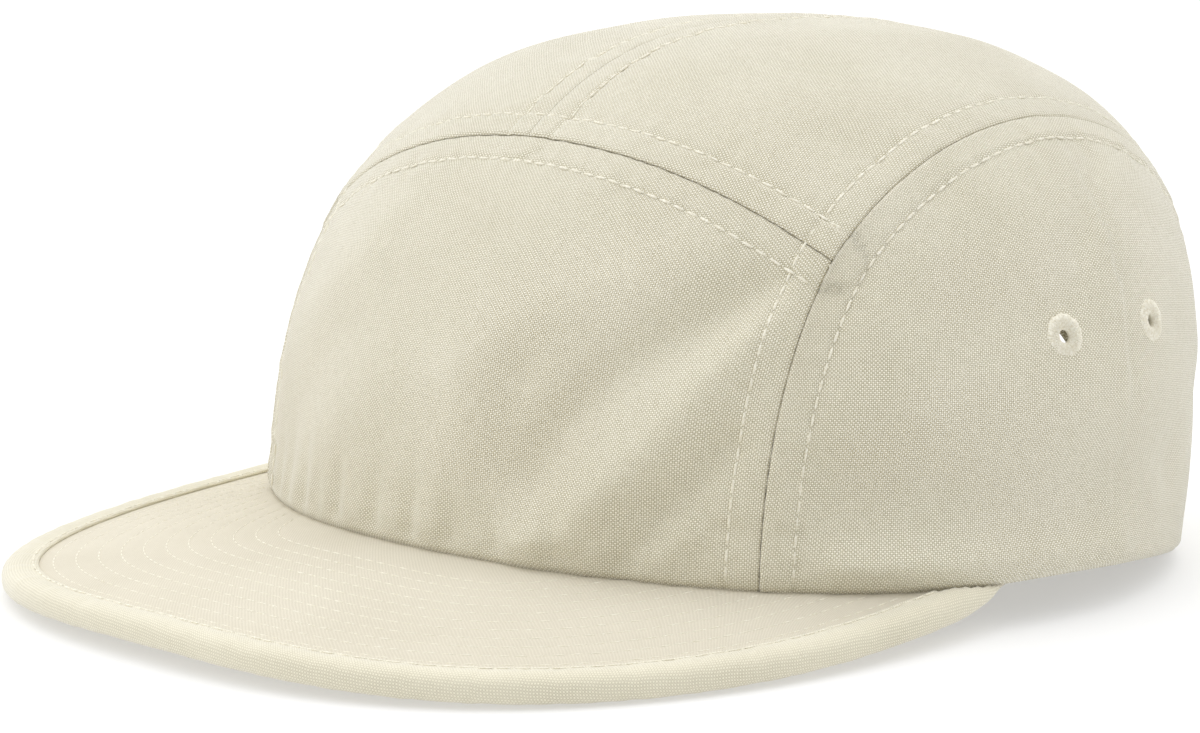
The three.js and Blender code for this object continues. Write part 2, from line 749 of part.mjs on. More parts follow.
const cap = new THREE.Group();
cap.add(piece('front_panel', frontPanel(), clothColour));
cap.add(piece('top_panel_left', topPanel(1), clothColour));
cap.add(piece('top_panel_right', topPanel(-1), clothColour));
cap.add(piece('side_panel_left', sidePanel(1), clothColour));
cap.add(piece('side_panel_right', sidePanel(-1), clothColour));
cap.add(piece('brim', brim(), clothColour));
cap.add(piece('brim_binding', brimBinding(), bindingColour));
cap.add(piece('sweatband', sweatband(), bandColour));
cap.add(piece('back_strap', backStrap(), strapColour));
cap.add(piece('strap_buckle', strapBuckle(), buckleColour, 0.5));
for (const [sideName, side] of [['left', 1], ['right', -1]]) {
  for (const place of eyeletPlaces) {
    cap.add(piece(`eyelet_${sideName}_${place.name}`, eyelet(place, side), threadColour));
  }
}

// The origin is the middle of the footprint
const bounds = new THREE.Box3().setFromObject(cap, true);
cap.position.y = -(bounds.min.y + bounds.max.y) / 2;

export default cap;
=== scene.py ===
# %% [markdown]
# # A five panel cap in plain canvas
# This lesson dresses a fixed CAD frame as a soft cap: a crown of five sewn panels, a flat brim
# with a folded binding, four embroidered eyelets, and the band, strap and slider at the back.
# The frame gives every size. Blender adds what cloth shows: weave, rolled seams, topstitching,
# puckers and folds. Everything is in metres, and the brim points to -Y.

# %% Start from the fixed frame
import math

import bmesh
import bpy
import numpy as np
from mathutils import Matrix, Vector
from mathutils.kdtree import KDTree


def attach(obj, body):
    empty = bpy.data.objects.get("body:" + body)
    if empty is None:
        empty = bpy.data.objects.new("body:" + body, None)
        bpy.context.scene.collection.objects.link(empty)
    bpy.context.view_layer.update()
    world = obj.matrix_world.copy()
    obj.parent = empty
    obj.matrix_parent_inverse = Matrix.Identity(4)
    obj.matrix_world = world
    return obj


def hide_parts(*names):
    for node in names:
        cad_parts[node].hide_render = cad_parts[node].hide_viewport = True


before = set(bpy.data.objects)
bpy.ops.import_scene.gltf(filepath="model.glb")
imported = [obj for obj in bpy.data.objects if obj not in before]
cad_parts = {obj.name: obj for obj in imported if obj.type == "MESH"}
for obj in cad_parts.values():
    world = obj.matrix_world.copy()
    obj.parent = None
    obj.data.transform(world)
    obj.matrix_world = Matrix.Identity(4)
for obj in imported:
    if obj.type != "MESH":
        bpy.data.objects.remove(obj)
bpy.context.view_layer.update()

# %% [markdown]
# ## Camera
# The photograph was taken from the wearer's front left, a little above the brim. A long lens
# keeps the brim from looking too big. The eye's place and its aim were solved from the cap's
# outline and seams, so the render can be laid over the photograph. The small shift stands for
# the way that the photograph was trimmed.

# %% Camera
MM = 0.001
OVAL_SHIFT = Vector((0, 25.4995 * MM, 0))    # from the crown's own origin to the frame's
EYE = Vector((0.46042, -0.48813, 0.14403)) + OVAL_SHIFT
AHEAD = Vector((-0.69325, 0.699045, -0.175331)).normalized()
UPWARDS = Vector((-0.119012, 0.128899, 0.98449))
LENS, LENS_SHIFT = 101.1, (-0.0285, 0.0405)


def photo_camera():
    """Puts a camera at the photograph's eye."""
    data = bpy.data.cameras.new("photo_camera")
    data.sensor_fit = "HORIZONTAL"
    data.sensor_width = 36.0
    data.lens = LENS
    data.shift_x, data.shift_y = LENS_SHIFT
    camera = bpy.data.objects.new("photo_camera", data)
    side = AHEAD.cross(UPWARDS).normalized()
    turn = Matrix((side, side.cross(AHEAD), -AHEAD)).transposed()
    camera.matrix_world = Matrix.Translation(EYE) @ turn.to_4x4()
    bpy.context.collection.objects.link(camera)
    bpy.context.scene.camera = camera


photo_camera()
print("camera at", [round(c, 3) for c in EYE], "lens", LENS, "mm")

# %% [markdown]
# ## The crown's surface
# A cap's crown is soft, but its panels are cut so that they close to one smooth dome on an oval
# rim. The same formula as the CAD frame's gives that dome. Each point is found by walking along
# a ray until it meets the surface, for all the points of a grid at once.

# %% Crown surface
CROWN_HALF_WIDTH = 97.5 * MM
FRONT_REACH, BACK_REACH = 83.7 * MM, 89.7 * MM
CROWN_HEIGHT = 104 * MM
RIM_FRONT_POWER, RIM_BACK_POWER = 2.03, 1.85
DOME_RISE, DOME_ROUND = 3.5, 2.48
FRONT_SWELL = 0.072
CROWN_LEAN, LEAN_EARLY = 15.1 * MM, 1.28
HUB_BACK = 12 * MM      # the hub that rays start from lies this far back
RAY_REACH, HALVINGS = 0.4, 30    # a ray ends well outside, then is halved to the surface


def lean_at(share):
    return CROWN_LEAN * (LEAN_EARLY * share + (1 - LEAN_EARLY) * share**2)


def dome_at(x, z, front):
    share = np.clip(z / CROWN_HEIGHT, 0, 1)
    middle = np.sqrt(np.maximum(0, 1 - (x / CROWN_HALF_WIDTH) ** 2))
    swell = np.where(front, FRONT_SWELL * middle * 4 * share * (1 - share) ** 2, 0)
    return (1 - share**DOME_RISE) ** (1 / DOME_ROUND) * (1 + swell)


def crown_field(spots):
    """Below zero inside the crown, zero on it."""
    x, y, z = spots[..., 0], spots[..., 1], spots[..., 2]
    run = y - lean_at(np.clip(z / CROWN_HEIGHT, 0, 1))
    front = run < 0
    power = np.where(front, RIM_FRONT_POWER, RIM_BACK_POWER)
    reach = np.where(front, FRONT_REACH, BACK_REACH)
    size = dome_at(x, z, front)
    return (abs(x) / CROWN_HALF_WIDTH) ** power + (abs(run) / reach) ** power - size**power


def along_ray(start, direction):
    near = np.zeros(direction.shape[:-1])
    far = near + RAY_REACH
    for _ in range(HALVINGS):
        half = (near + far) / 2
        spot = start + direction * half[..., None]
        inside = (spot[..., 2] < CROWN_HEIGHT) & (crown_field(spot) < 0)
        near, far = np.where(inside, half, near), np.where(inside, far, half)
    return start + direction * near[..., None]


def xyz(x, y, z):
    return np.stack(np.broadcast_arrays(x, y, z), axis=-1).astype(float)


def slice_point(x, angle):
    """The crown's section at one x: angle 0 in front, half a turn at the back."""
    start = xyz(x, HUB_BACK, 0 * angle)
    return along_ray(start, xyz(0 * x, -np.cos(angle), np.sin(angle)))


def unit(vectors):
    return vectors / np.linalg.norm(vectors, axis=-1, keepdims=True)


def on_crown(spots):
    hub = xyz(0, HUB_BACK, 0)
    return along_ray(hub, unit(spots - hub))


def side_of_crown(x, z, side):
    front = side < 0
    power, reach = (RIM_FRONT_POWER, FRONT_REACH) if front else (RIM_BACK_POWER, BACK_REACH)
    size = dome_at(x, z, front)
    rest = np.maximum(0, size**power - (abs(x) / CROWN_HALF_WIDTH) ** power)
    return lean_at(np.clip(z / CROWN_HEIGHT, 0, 1)) + side * reach * rest ** (1 / power)


def slice_angle(x, z, side):
    return np.arctan2(z, HUB_BACK - side_of_crown(x, z, side))


def crown_normal(spots):
    step = 0.02 * MM
    slope = [crown_field(spots + d) - crown_field(spots - d) for d in np.eye(3) * step]
    return unit(np.stack(slope, axis=-1))


def smooth(value, low, high):
    share = np.clip((value - low) / (high - low), 0, 1)
    return share * share * (3 - 2 * share)


def mix(a, b, share):
    return a * (1 - share) + b * share


print("top of the crown at the middle:", slice_point(np.array(0.0), np.array(1.5)).round(4))

# %% [markdown]
# ## The brim's surface
# A flat brim isn't quite flat: its board is arched a little from side to side and falls towards
# the front. The crown's rim follows it in front and comes down to the table behind it.

# %% Brim surface
BRIM_REACH, BRIM_SPRING_BACK = 62.5 * MM, 63 * MM
BRIM_POWER = 2.72
BRIM_END_TUCK, BRIM_END_START = 3.4 * MM, 0.42
BRIM_THICKNESS = 2.6 * MM
BRIM_ARCH, BRIM_PITCH = 7 * MM, 0.067
BRIM_ROOT = 10.5968 * MM
RIM_FLAT_FROM = 67 * MM
SPRING_LINE = BRIM_SPRING_BACK - FRONT_REACH
TURN_END, TURN_STEP = 0.0005, 0.01    # for directions along the edge, in radians
SETTLE = 4              # rounds after which a point's height has settled


def brim_outline(turn):
    """The brim's edge from the +X end, turn 0, round the front to the -X end."""
    sin, cos = np.sin(turn), np.cos(turn)
    tuck = (1 - np.minimum(1, sin / BRIM_END_START)) ** 2
    half = CROWN_HALF_WIDTH - BRIM_END_TUCK * tuck
    x = half * np.sign(cos) * abs(cos) ** (2 / BRIM_POWER)
    y = SPRING_LINE - (BRIM_REACH + BRIM_SPRING_BACK) * sin ** (2 / BRIM_POWER)
    return np.stack([x, y], axis=-1)


def brim_inward(turn):
    after = brim_outline(np.minimum(np.pi - TURN_END, turn + TURN_STEP))
    along = unit(after - brim_outline(np.maximum(TURN_END, turn - TURN_STEP)))
    return np.stack([along[..., 1], -along[..., 0]], axis=-1)


def brim_top(x, y):
    return BRIM_ROOT + BRIM_PITCH * (y + FRONT_REACH) - BRIM_ARCH * (x / CROWN_HALF_WIDTH) ** 2


def rim_height(x, y):
    return brim_top(x, y) * (1 - smooth(y, SPRING_LINE, RIM_FLAT_FROM))


def above_rim(spots):
    return spots[..., 2] - rim_height(spots[..., 0], spots[..., 1])


def rim_point(x, side):
    z = 0 * x
    for _ in range(SETTLE):
        z = rim_height(x, side_of_crown(x, z, side))
    return xyz(x, side_of_crown(x, z, side), z)


def rim_around(angle):
    """A point of the rim by its compass angle from the front."""
    z = 0 * angle
    for _ in range(SETTLE):
        spot = along_ray(xyz(0, HUB_BACK, z), xyz(np.sin(angle), -np.cos(angle), 0 * angle))
        z = rim_height(spot[..., 0], spot[..., 1])
    spot[..., 2] = z
    return spot


girth = np.diff(rim_around(np.linspace(0, 2 * np.pi, 400)), axis=0)
print("rim:", round(1000 * np.linalg.norm(girth, axis=-1).sum()), "mm round")

# %% [markdown]
# ## Seams and stitch lines
# Five panels need six seams: one across the front, two down beside the front panel and on over
# the top to the back, and one down the middle. Each is pressed open and sewn down with a line
# of topstitching on both sides, 6 mm from the join. Lines on the crown are kept as rows of
# points, so both the cloth's relief and the stitches can follow them.

# %% Seam lines
SIDE_SEAM, SIDE_SEAM_BACK = 67.6 * MM, 51 * MM
SIDE_SEAM_TAPER, SIDE_SEAM_SWELL = 2.5, 4.3 * MM
ARCH_HALF_WIDTH, ARCH_HEIGHT = 33 * MM, 37 * MM
HALF_GAP = 0.015 * MM
SEAM_MARGIN = 6 * MM
ARC_TURN, ARC_TURN_FALL = 53.1, 2.3    # the front arc's angle in degrees, less at its ends
PATH_STEP = 0.15 * MM


def arc_angle(x):
    return np.radians(ARC_TURN - ARC_TURN_FALL * (x / SIDE_SEAM) ** 2)


def side_seam_point(share, offset=0.0):
    swell = SIDE_SEAM_SWELL * np.sin(np.pi * share)
    x = mix(SIDE_SEAM, SIDE_SEAM_BACK, share**SIDE_SEAM_TAPER) + swell + offset
    spot = slice_point(x, mix(arc_angle(SIDE_SEAM), slice_angle(x, 0 * x, 1), share))
    spot[share == 1] = rim_point(x[share == 1], 1)
    return spot


def side_front_point(share, offset=0.0):
    x = SIDE_SEAM + offset + 0 * share
    foot = rim_point(x, -1)
    start = np.arctan2(foot[..., 2], HUB_BACK - foot[..., 1])
    return slice_point(x, mix(start, arc_angle(SIDE_SEAM), share))


def arch_point(share):
    """The back opening's edge, from the +X foot over the top to the -X foot."""
    turn = np.pi * (0.5 - share)
    x, z = ARCH_HALF_WIDTH * np.sin(turn), ARCH_HEIGHT * np.cos(turn)
    return xyz(x, side_of_crown(x, z, 1), z)


def run_of(path):
    """Each point's distance along the path."""
    return np.append(0, np.cumsum(np.linalg.norm(np.diff(path, axis=0), axis=-1)))


def even(path, step=PATH_STEP):
    """The same path with points at even steps."""
    run = run_of(path)
    at = np.linspace(0, run[-1], max(2, int(run[-1] / step)))
    return np.stack([np.interp(at, run, path[:, k]) for k in range(3)], axis=-1)


shares = np.linspace(0, 1, 300)
left_seam = np.concatenate([side_front_point(shares[:-1]), side_seam_point(shares)])
centre_end = slice_angle(np.array(0.0), np.array(ARCH_HEIGHT), 1)
centre_angles = mix(arc_angle(0), centre_end, shares)
arc_x = mix(-SIDE_SEAM, SIDE_SEAM, shares)
seams = {
    "front_arc": even(slice_point(arc_x, arc_angle(arc_x))),
    "side_left": even(left_seam),
    "side_right": even(left_seam * (-1, 1, 1)),
    "centre": even(slice_point(0 * shares, centre_angles)),
}
arch = even(arch_point(shares))
for name, path in seams.items():
    print(name, round(len(path) * PATH_STEP / MM), "mm long")

# %% [markdown]
# ## Folds
# Soft canvas keeps the dents of packing and the pull of its seams. Each fold is a short line on
# one face of the crown with a width and a height, in millimetres, below zero for a hollow.
# The lines were placed on the photographed side. The hidden side has calmer ones.

# %% Folds
# Points across and up (on top across and back), then width and height
folds = {
    "front": [
        ([(64, 56), (58, 46), (51, 34), (40, 22), (29, 12)], 5.5, 2.3),
        ([(60, 61), (51, 54), (41, 46), (33, 37), (27, 27)], 5.5, -2.2),
        ([(62, 35), (57, 28), (52, 21), (47, 11)], 4.0, -1.7),
        ([(46, 66), (33, 60), (20, 53), (11, 44)], 7.0, 0.9),
        ([(49, 13.5), (57, 19)], 3, 0.8),
        ([(37, 6), (43, 13), (48, 19)], 2.8, 0.8),
        ([(8, 52), (12, 34), (8, 18)], 9, 0.9),
        ([(22, 44), (20, 30), (15, 16)], 5, -0.9),
        ([(-20, 56), (-34, 40), (-48, 27)], 9, -0.8),
        ([(-30, 62), (-44, 52), (-58, 42)], 7, 0.7),
        ([(33, 12), (34, 20)], 2.5, -0.5),
    ],
    "left": [
        ([(-50, 25), (-39, 24), (-25, 23), (-2, 22), (25, 23)], 8.5, -1.9),
        ([(-50, 12.5), (-38, 12), (-22, 11.5), (4, 10)], 4.5, 1.7),
        ([(-46, 40), (-30, 38), (-12, 37), (10, 38)], 7, 0.9),
        ([(19, 81), (8, 73), (3, 68), (-5, 57)], 3.5, -0.7),
        ([(-40, 52), (-24, 46), (-6, 44)], 8, 0.6),
        ([(30, 48), (48, 34), (60, 20)], 7, -0.45),
        ([(58, 40), (68, 30), (72, 18)], 6, 0.4),
    ],
    "right": [
        ([(-46, 26), (-20, 30), (8, 26)], 8, -1.2),
        ([(-30, 14), (0, 13), (22, 16)], 5, 0.7),
        ([(10, 74), (18, 60), (34, 48)], 6, -0.8),
        ([(40, 40), (56, 30), (66, 18)], 6, 0.7),
    ],
    "top": [
        ([(55, -29), (63, -25), (71, -22)], 5, -0.8),
        ([(20, -30), (34, 2), (38, 30)], 12, 0.6),
        ([(22, 34), (40, 50), (46, 66)], 8, -1.0),
        ([(-24, -20), (-40, 10), (-36, 40)], 11, -0.35),
        ([(-14, 60), (-26, 74)], 7, 0.8),
    ],
}
# Small puckers where the front panel is eased onto the brim: across, reach upwards, depth
puckers = [
    (-61, 9, 0.78), (-54, 11, 1.04), (-47, 12, 1.04), (-38, 12, 1.3), (-31, 10, 0.65),
    (-23.5, 14, 1.3), (-10.5, 12, 1.17), (0.5, 13, 1.3), (10.8, 12, 1.04), (21.5, 10, 1.04),
    (34, 9, 0.78), (46, 12, 0.78), (58, 9, 0.65),
]
PUCKER_WIDTH = 2.2 * MM
FOLD_POINTS, FOLD_REACH = 28, 90 * MM   # points on a fold's line, and how far it can be felt


def bell(distance, width):
    """1 at no distance, and falling off over a width."""
    return np.exp(-((distance / width) ** 2))


def fold_points(face, line):
    """The fold's line on the crown."""
    line = np.array(line, float) * MM
    at = np.linspace(0, len(line) - 1, FOLD_POINTS)
    a, b = (np.interp(at, np.arange(len(line)), line[:, k]) for k in range(2))
    if face == "front":
        return xyz(a, side_of_crown(a, b, -1), b)
    if face == "top":
        return along_ray(xyz(a, b, 0 * a), xyz(0 * a, 0, 1))
    side = 1 if face == "left" else -1
    return along_ray(xyz(0 * a, a, b), xyz(side + 0 * a, 0, 0))


fold_lines = [
    (fold_points(face, line), width * MM, height * MM)
    for face, rows in folds.items() for line, width, height in rows
]


def fold_push(spots):
    flat = spots.reshape(-1, 3)
    push = np.zeros(len(flat))
    for line, width, height in fold_lines:
        from_middle = np.linalg.norm(flat - line[len(line) // 2], axis=-1)
        close = np.where(from_middle < FOLD_REACH)[0]
        gap = np.linalg.norm(flat[close, None, :] - line[None], axis=-1).min(axis=-1)
        push[close] += height * bell(gap, width)
    return push.reshape(spots.shape[:-1])


print(len(fold_lines), "folds and", len(puckers), "puckers at the brim")

# %% [markdown]
# ## How the cloth lies
# Beside a seam the cloth dips into the join, stands up over its folded allowance and is pulled
# down again by the stitch line. The thread draws it up a little, so it ripples along the
# stitches. The push of all of this, and of the folds, is added along the crown's normal.

# %% Cloth relief
def tree_of(path):
    tree = KDTree(len(path))
    for i, spot in enumerate(path):
        tree.insert(spot, i)
    tree.balance()
    return tree


seam_trees = {name: (tree_of(path), path) for name, path in seams.items()}
arch_tree = (tree_of(arch), arch)
# Beside a seam, in millimetres: on the panel that lies below and on the one on top
GROOVE_DEPTHS, GROOVE_WIDTHS = (0.34, 0.12), (0.32, 0.24)
BAND_HEIGHTS, BAND_RISES = (0.14, 0.34), (1.6, 0.7)
BAND_END = (4.8 * MM, 6.3 * MM)
CENTRE_GROOVE = 0.15    # the centre seam's groove is this share of the others' depth


def gap_to(tree_and_path, spots):
    """Distance of each spot from a path, and how far along it the nearest point lies."""
    tree, path = tree_and_path
    found = [tree.find(spot) for spot in spots.reshape(-1, 3)]
    gap = np.array([f[2] for f in found]).reshape(spots.shape[:-1])
    run = np.array([f[1] for f in found]).reshape(spots.shape[:-1]) * PATH_STEP
    return gap, run


def wave(run, pitch, phase=0.0):
    return np.sin(2 * np.pi * run / (pitch * MM) + phase)


def ripple(run, seed):
    """An uneven wave along a seam, the same on each run of the script."""
    waves = [(7.3, 0.0, 0.5), (4.9, 2.1, 0.35), (12.7, 4.0, 0.45), (3.4, 1.3, 0.2)]
    return sum(size * wave(run, pitch, phase + seed * 1.7) for pitch, phase, size in waves)


def seam_push(gap, run, seed, over, depth):
    """over is 1 on the panel whose edge lies on top and 0 on the one below it."""
    frayed = 1 + 0.45 * wave(run, 3.3, 2 * wave(run, 11))
    deep = mix(*GROOVE_DEPTHS, over) * depth * MM * frayed
    groove = -deep * bell(gap, mix(*GROOVE_WIDTHS, over) * MM)
    pulled = 1 + 0.25 * wave(run, 2.6) * np.exp(-gap / (1.2 * MM))
    flat = smooth(gap, 0, mix(*BAND_RISES, over) * MM) * (1 - smooth(gap, *BAND_END))
    band = mix(*BAND_HEIGHTS, over) * MM * flat * pulled
    stitched = -0.3 * MM * bell(gap - SEAM_MARGIN, 0.6 * MM)
    drawn = 0.2 * MM * ripple(run, seed) * bell(gap - SEAM_MARGIN, 4 * MM)
    return groove + band + stitched + drawn


def soft_waves(spots):
    """Slow unevenness all over the cloth."""
    x, y, z = (spots[..., k] / MM for k in range(3))
    slow = np.sin(x / 9.1 + 0.7 * np.sin(z / 13)) * np.sin(z / 11.3 + y / 17)
    quick = np.sin(x / 4.3 - z / 6.1 + 1.3) * np.sin(y / 5.2 + z / 4.7)
    return (0.16 * slow + 0.05 * quick) * MM


def rim_push(spots):
    """The lower edge turns in, and the front is eased onto the brim in puckers."""
    up = above_rim(spots)
    turned = -0.9 * MM * bell(up, 0.75 * MM)
    front = smooth(-spots[..., 1], 20 * MM, 45 * MM)
    eased = 0
    for across, reach, depth in puckers:
        beside = bell(spots[..., 0] - across * MM, PUCKER_WIDTH)
        eased = eased - depth * MM * beside * smooth(up, 0, 4 * MM) * bell(up, reach * MM)
    full = 0.5 * MM * bell(up - 4 * MM, 3.5 * MM)
    return turned + front * (eased + full)


def cloth_on(spots, panel=""):
    """Where the outer face of a panel's cloth lies over points of the crown's surface."""
    normal = crown_normal(spots)
    push = rim_push(spots)
    hold = np.ones(spots.shape[:-1])
    for seed, (name, tree) in enumerate(seam_trees.items()):
        gap, run = gap_to(tree, spots)
        on_top = panel.startswith("side") or (panel.startswith("top") and name == "front_arc")
        depth = CENTRE_GROOVE if name == "centre" else 1.0
        push = push + seam_push(gap, run, seed, float(on_top), depth)
        hold = np.minimum(hold, 0.25 + 0.75 * smooth(gap, 1 * MM, 9 * MM))
    gap, _ = gap_to(arch_tree, spots)
    hem = 0.35 * MM * smooth(gap, 0, 1.2 * MM) * (1 - smooth(gap, 7 * MM, 8.6 * MM))
    push = push + hem - 0.9 * MM * bell(gap, 0.7 * MM)
    hold = hold * (0.3 + 0.7 * smooth(above_rim(spots), 0, 7 * MM))
    push = push + hold * (fold_push(spots) + soft_waves(spots))
    return spots + normal * push[..., None], normal


# %% [markdown]
# ## Grids that become cloth
# Each sewn piece starts as a flat grid from bmesh, whose points are then moved to their places,
# like a pattern piece laid on a form. The grid has close lines beside its edges, where the seam
# and the stitching need them. Its UV map holds the flat pattern in metres, so the weave keeps
# its size and follows each panel's own grain.

# %% Grids and patterns
COARSE = 1.3 * MM
CLOSE_LINES = np.array([
    0, 0.25, 0.5, 0.8, 1.2, 1.8, 2.6, 3.5, 4.4, 5.1, 5.6, 6.0, 6.4, 6.9, 7.8, 9.0,
]) * MM


def spread(length):
    """Shares from 0 to 1 along a panel, with close lines at both ends."""
    edge = CLOSE_LINES[-1]
    count = max(2, round((length - 2 * edge) / COARSE))
    middle = np.linspace(edge, length - edge, count + 1)[1:-1]
    return np.concatenate([CLOSE_LINES, middle, (length - CLOSE_LINES)[::-1]]) / length


def flat_pattern(points):
    """Lengths along the grid's rows from its middle, and along its columns from the first row."""
    across = np.linalg.norm(np.diff(points, axis=1), axis=-1)
    run = np.concatenate([np.zeros((len(points), 1)), np.cumsum(across, axis=1)], axis=1)
    run -= run[:, [points.shape[1] // 2]]
    up = np.linalg.norm(np.diff(points, axis=0), axis=-1)
    rise = np.concatenate([np.zeros((1, points.shape[1])), np.cumsum(up, axis=0)], axis=0)
    return np.stack([run, rise], axis=-1)


def moved_grid(points, pattern=None):
    """A bmesh grid moved onto points, rows by columns, with the flat pattern as its UV map."""
    rows, columns = points.shape[:2]
    cloth = bmesh.new()
    uv = cloth.loops.layers.uv.new("pattern")
    bmesh.ops.create_grid(cloth, x_segments=columns - 1, y_segments=rows - 1, size=0.5)
    place = [
        (round((v.co.y + 0.5) * (rows - 1)), round((v.co.x + 0.5) * (columns - 1)))
        for v in cloth.verts
    ]
    pattern = flat_pattern(points) if pattern is None else pattern
    cloth.verts.index_update()
    for face in cloth.faces:
        face.smooth = True
        for loop in face.loops:
            loop[uv].uv = pattern[place[loop.vert.index]]
    for vert, at in zip(cloth.verts, place):
        vert.co = Vector(points[at]) + OVAL_SHIFT
    return cloth


def face_away(cloth, middle):
    """Turns the faces over if they look towards the middle."""
    cloth.normal_update()
    look = sum(f.normal.dot(f.calc_center_median() - middle) * f.calc_area() for f in cloth.faces)
    if look < 0:
        bmesh.ops.reverse_faces(cloth, faces=cloth.faces[:])


def mesh_of(name, cloth):
    data = bpy.data.meshes.new(name)
    cloth.to_mesh(data)
    cloth.free()
    return data


def placed(name, data):
    piece = bpy.data.objects.new(name, data)
    bpy.context.collection.objects.link(piece)
    return piece


def rounded(cloth):
    """Smooth shading, and normals that look outwards."""
    bmesh.ops.recalc_face_normals(cloth, faces=cloth.faces[:])
    for face in cloth.faces:
        face.smooth = True
    return cloth


def finish_piece(name, cloth, material, nodes=(), wall=None):
    """A bmesh becomes a named piece that rides on the cap's body."""
    data = mesh_of(name, cloth)
    data.materials.append(material)
    piece = placed(name, data)
    if wall:
        made = piece.modifiers.new("wall", "SOLIDIFY")
        made.thickness, made.offset = wall, -1.0
        made.use_quality_normals = True
    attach(piece, "root")
    if nodes:
        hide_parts(*nodes)
    print(name, len(data.polygons), "faces")
    return piece


CROWN_MIDDLE = Vector((0, HUB_BACK, 30 * MM)) + OVAL_SHIFT
SIDES = {"left": 1, "right": -1}

# %% [markdown]
# ## Shader nodes as functions
# A shader is a net of nodes. Each of these functions adds one node and hands back its output,
# so that a formula can be written down almost like ordinary code.

# %% Node helpers
def new_material(name):
    material = bpy.data.materials.new(name)
    material.use_nodes = True
    tree = material.node_tree
    return material, tree, tree.nodes["Principled BSDF"]


def calc(tree, operation, *values):
    """One Math node. A value is a number or another node's output."""
    node = tree.nodes.new("ShaderNodeMath")
    node.operation = operation
    for socket, value in zip(node.inputs, values):
        if isinstance(value, (int, float)):
            socket.default_value = value
        else:
            tree.links.new(value, socket)
    return node.outputs[0]


def noise(tree, vector, scale, detail, stretch=(1, 1, 1)):
    """Noise whose scale is in cells a metre."""
    mapping = tree.nodes.new("ShaderNodeMapping")
    mapping.inputs["Scale"].default_value = stretch
    tree.links.new(vector, mapping.inputs["Vector"])
    node = tree.nodes.new("ShaderNodeTexNoise")
    node.inputs["Scale"].default_value = scale
    node.inputs["Detail"].default_value = detail
    tree.links.new(mapping.outputs[0], node.inputs["Vector"])
    return node.outputs["Fac"]


def ramp(tree, value, stops):
    """A colour ramp. Each stop is a place and an RGB colour."""
    node = tree.nodes.new("ShaderNodeValToRGB")
    band = node.color_ramp
    while len(band.elements) < len(stops):
        band.elements.new(0.5)
    for element, (place, colour) in zip(band.elements, stops):
        element.position = place
        element.color = (*colour, 1)
    tree.links.new(value, node.inputs["Fac"])
    return node.outputs["Color"]


def bump(tree, height, distance):
    node = tree.nodes.new("ShaderNodeBump")
    node.inputs["Distance"].default_value = distance
    node.inputs["Strength"].default_value = 1.0
    tree.links.new(height, node.inputs["Height"])
    return node.outputs["Normal"]


def linear(red, green, blue):
    """A screen colour from 0 to 255 as the shader's linear colour."""
    share = np.array([red, green, blue]) / 255
    return tuple(np.where(share <= 0.04045, share / 12.92, ((share + 0.055) / 1.055) ** 2.4))


# %% [markdown]
# ## Canvas
# The cap is plain canvas in an off-white: two sets of yarns that go over and under each other
# by turns. Close up, each crossing shows as a small bright dot, set like bricks. Sines of the
# pattern's two lengths give the crossings, and the yarns' uneven thickness comes from noise
# that is stretched along each yarn. The same height drives the colour and the bump. The colour
# is darker in the hollows between the yarns, and that darkening is painted shade.

# %% Woven cloth
SLUB = 0.14             # how much the yarns' uneven thickness adds
UNDER_SHARE = 0.36      # a yarn that goes under shows this much of one that goes over
EVEN_HEIGHT = 0.4       # the height that more or less contrast leaves as it is
MOTTLE_SHARE, MOTTLE_CELLS = 0.2, 38      # slow spots in the tone, in cells a metre
WANDER_SHARE, WANDER_CELLS = 1.6, 420     # how the yarns wander


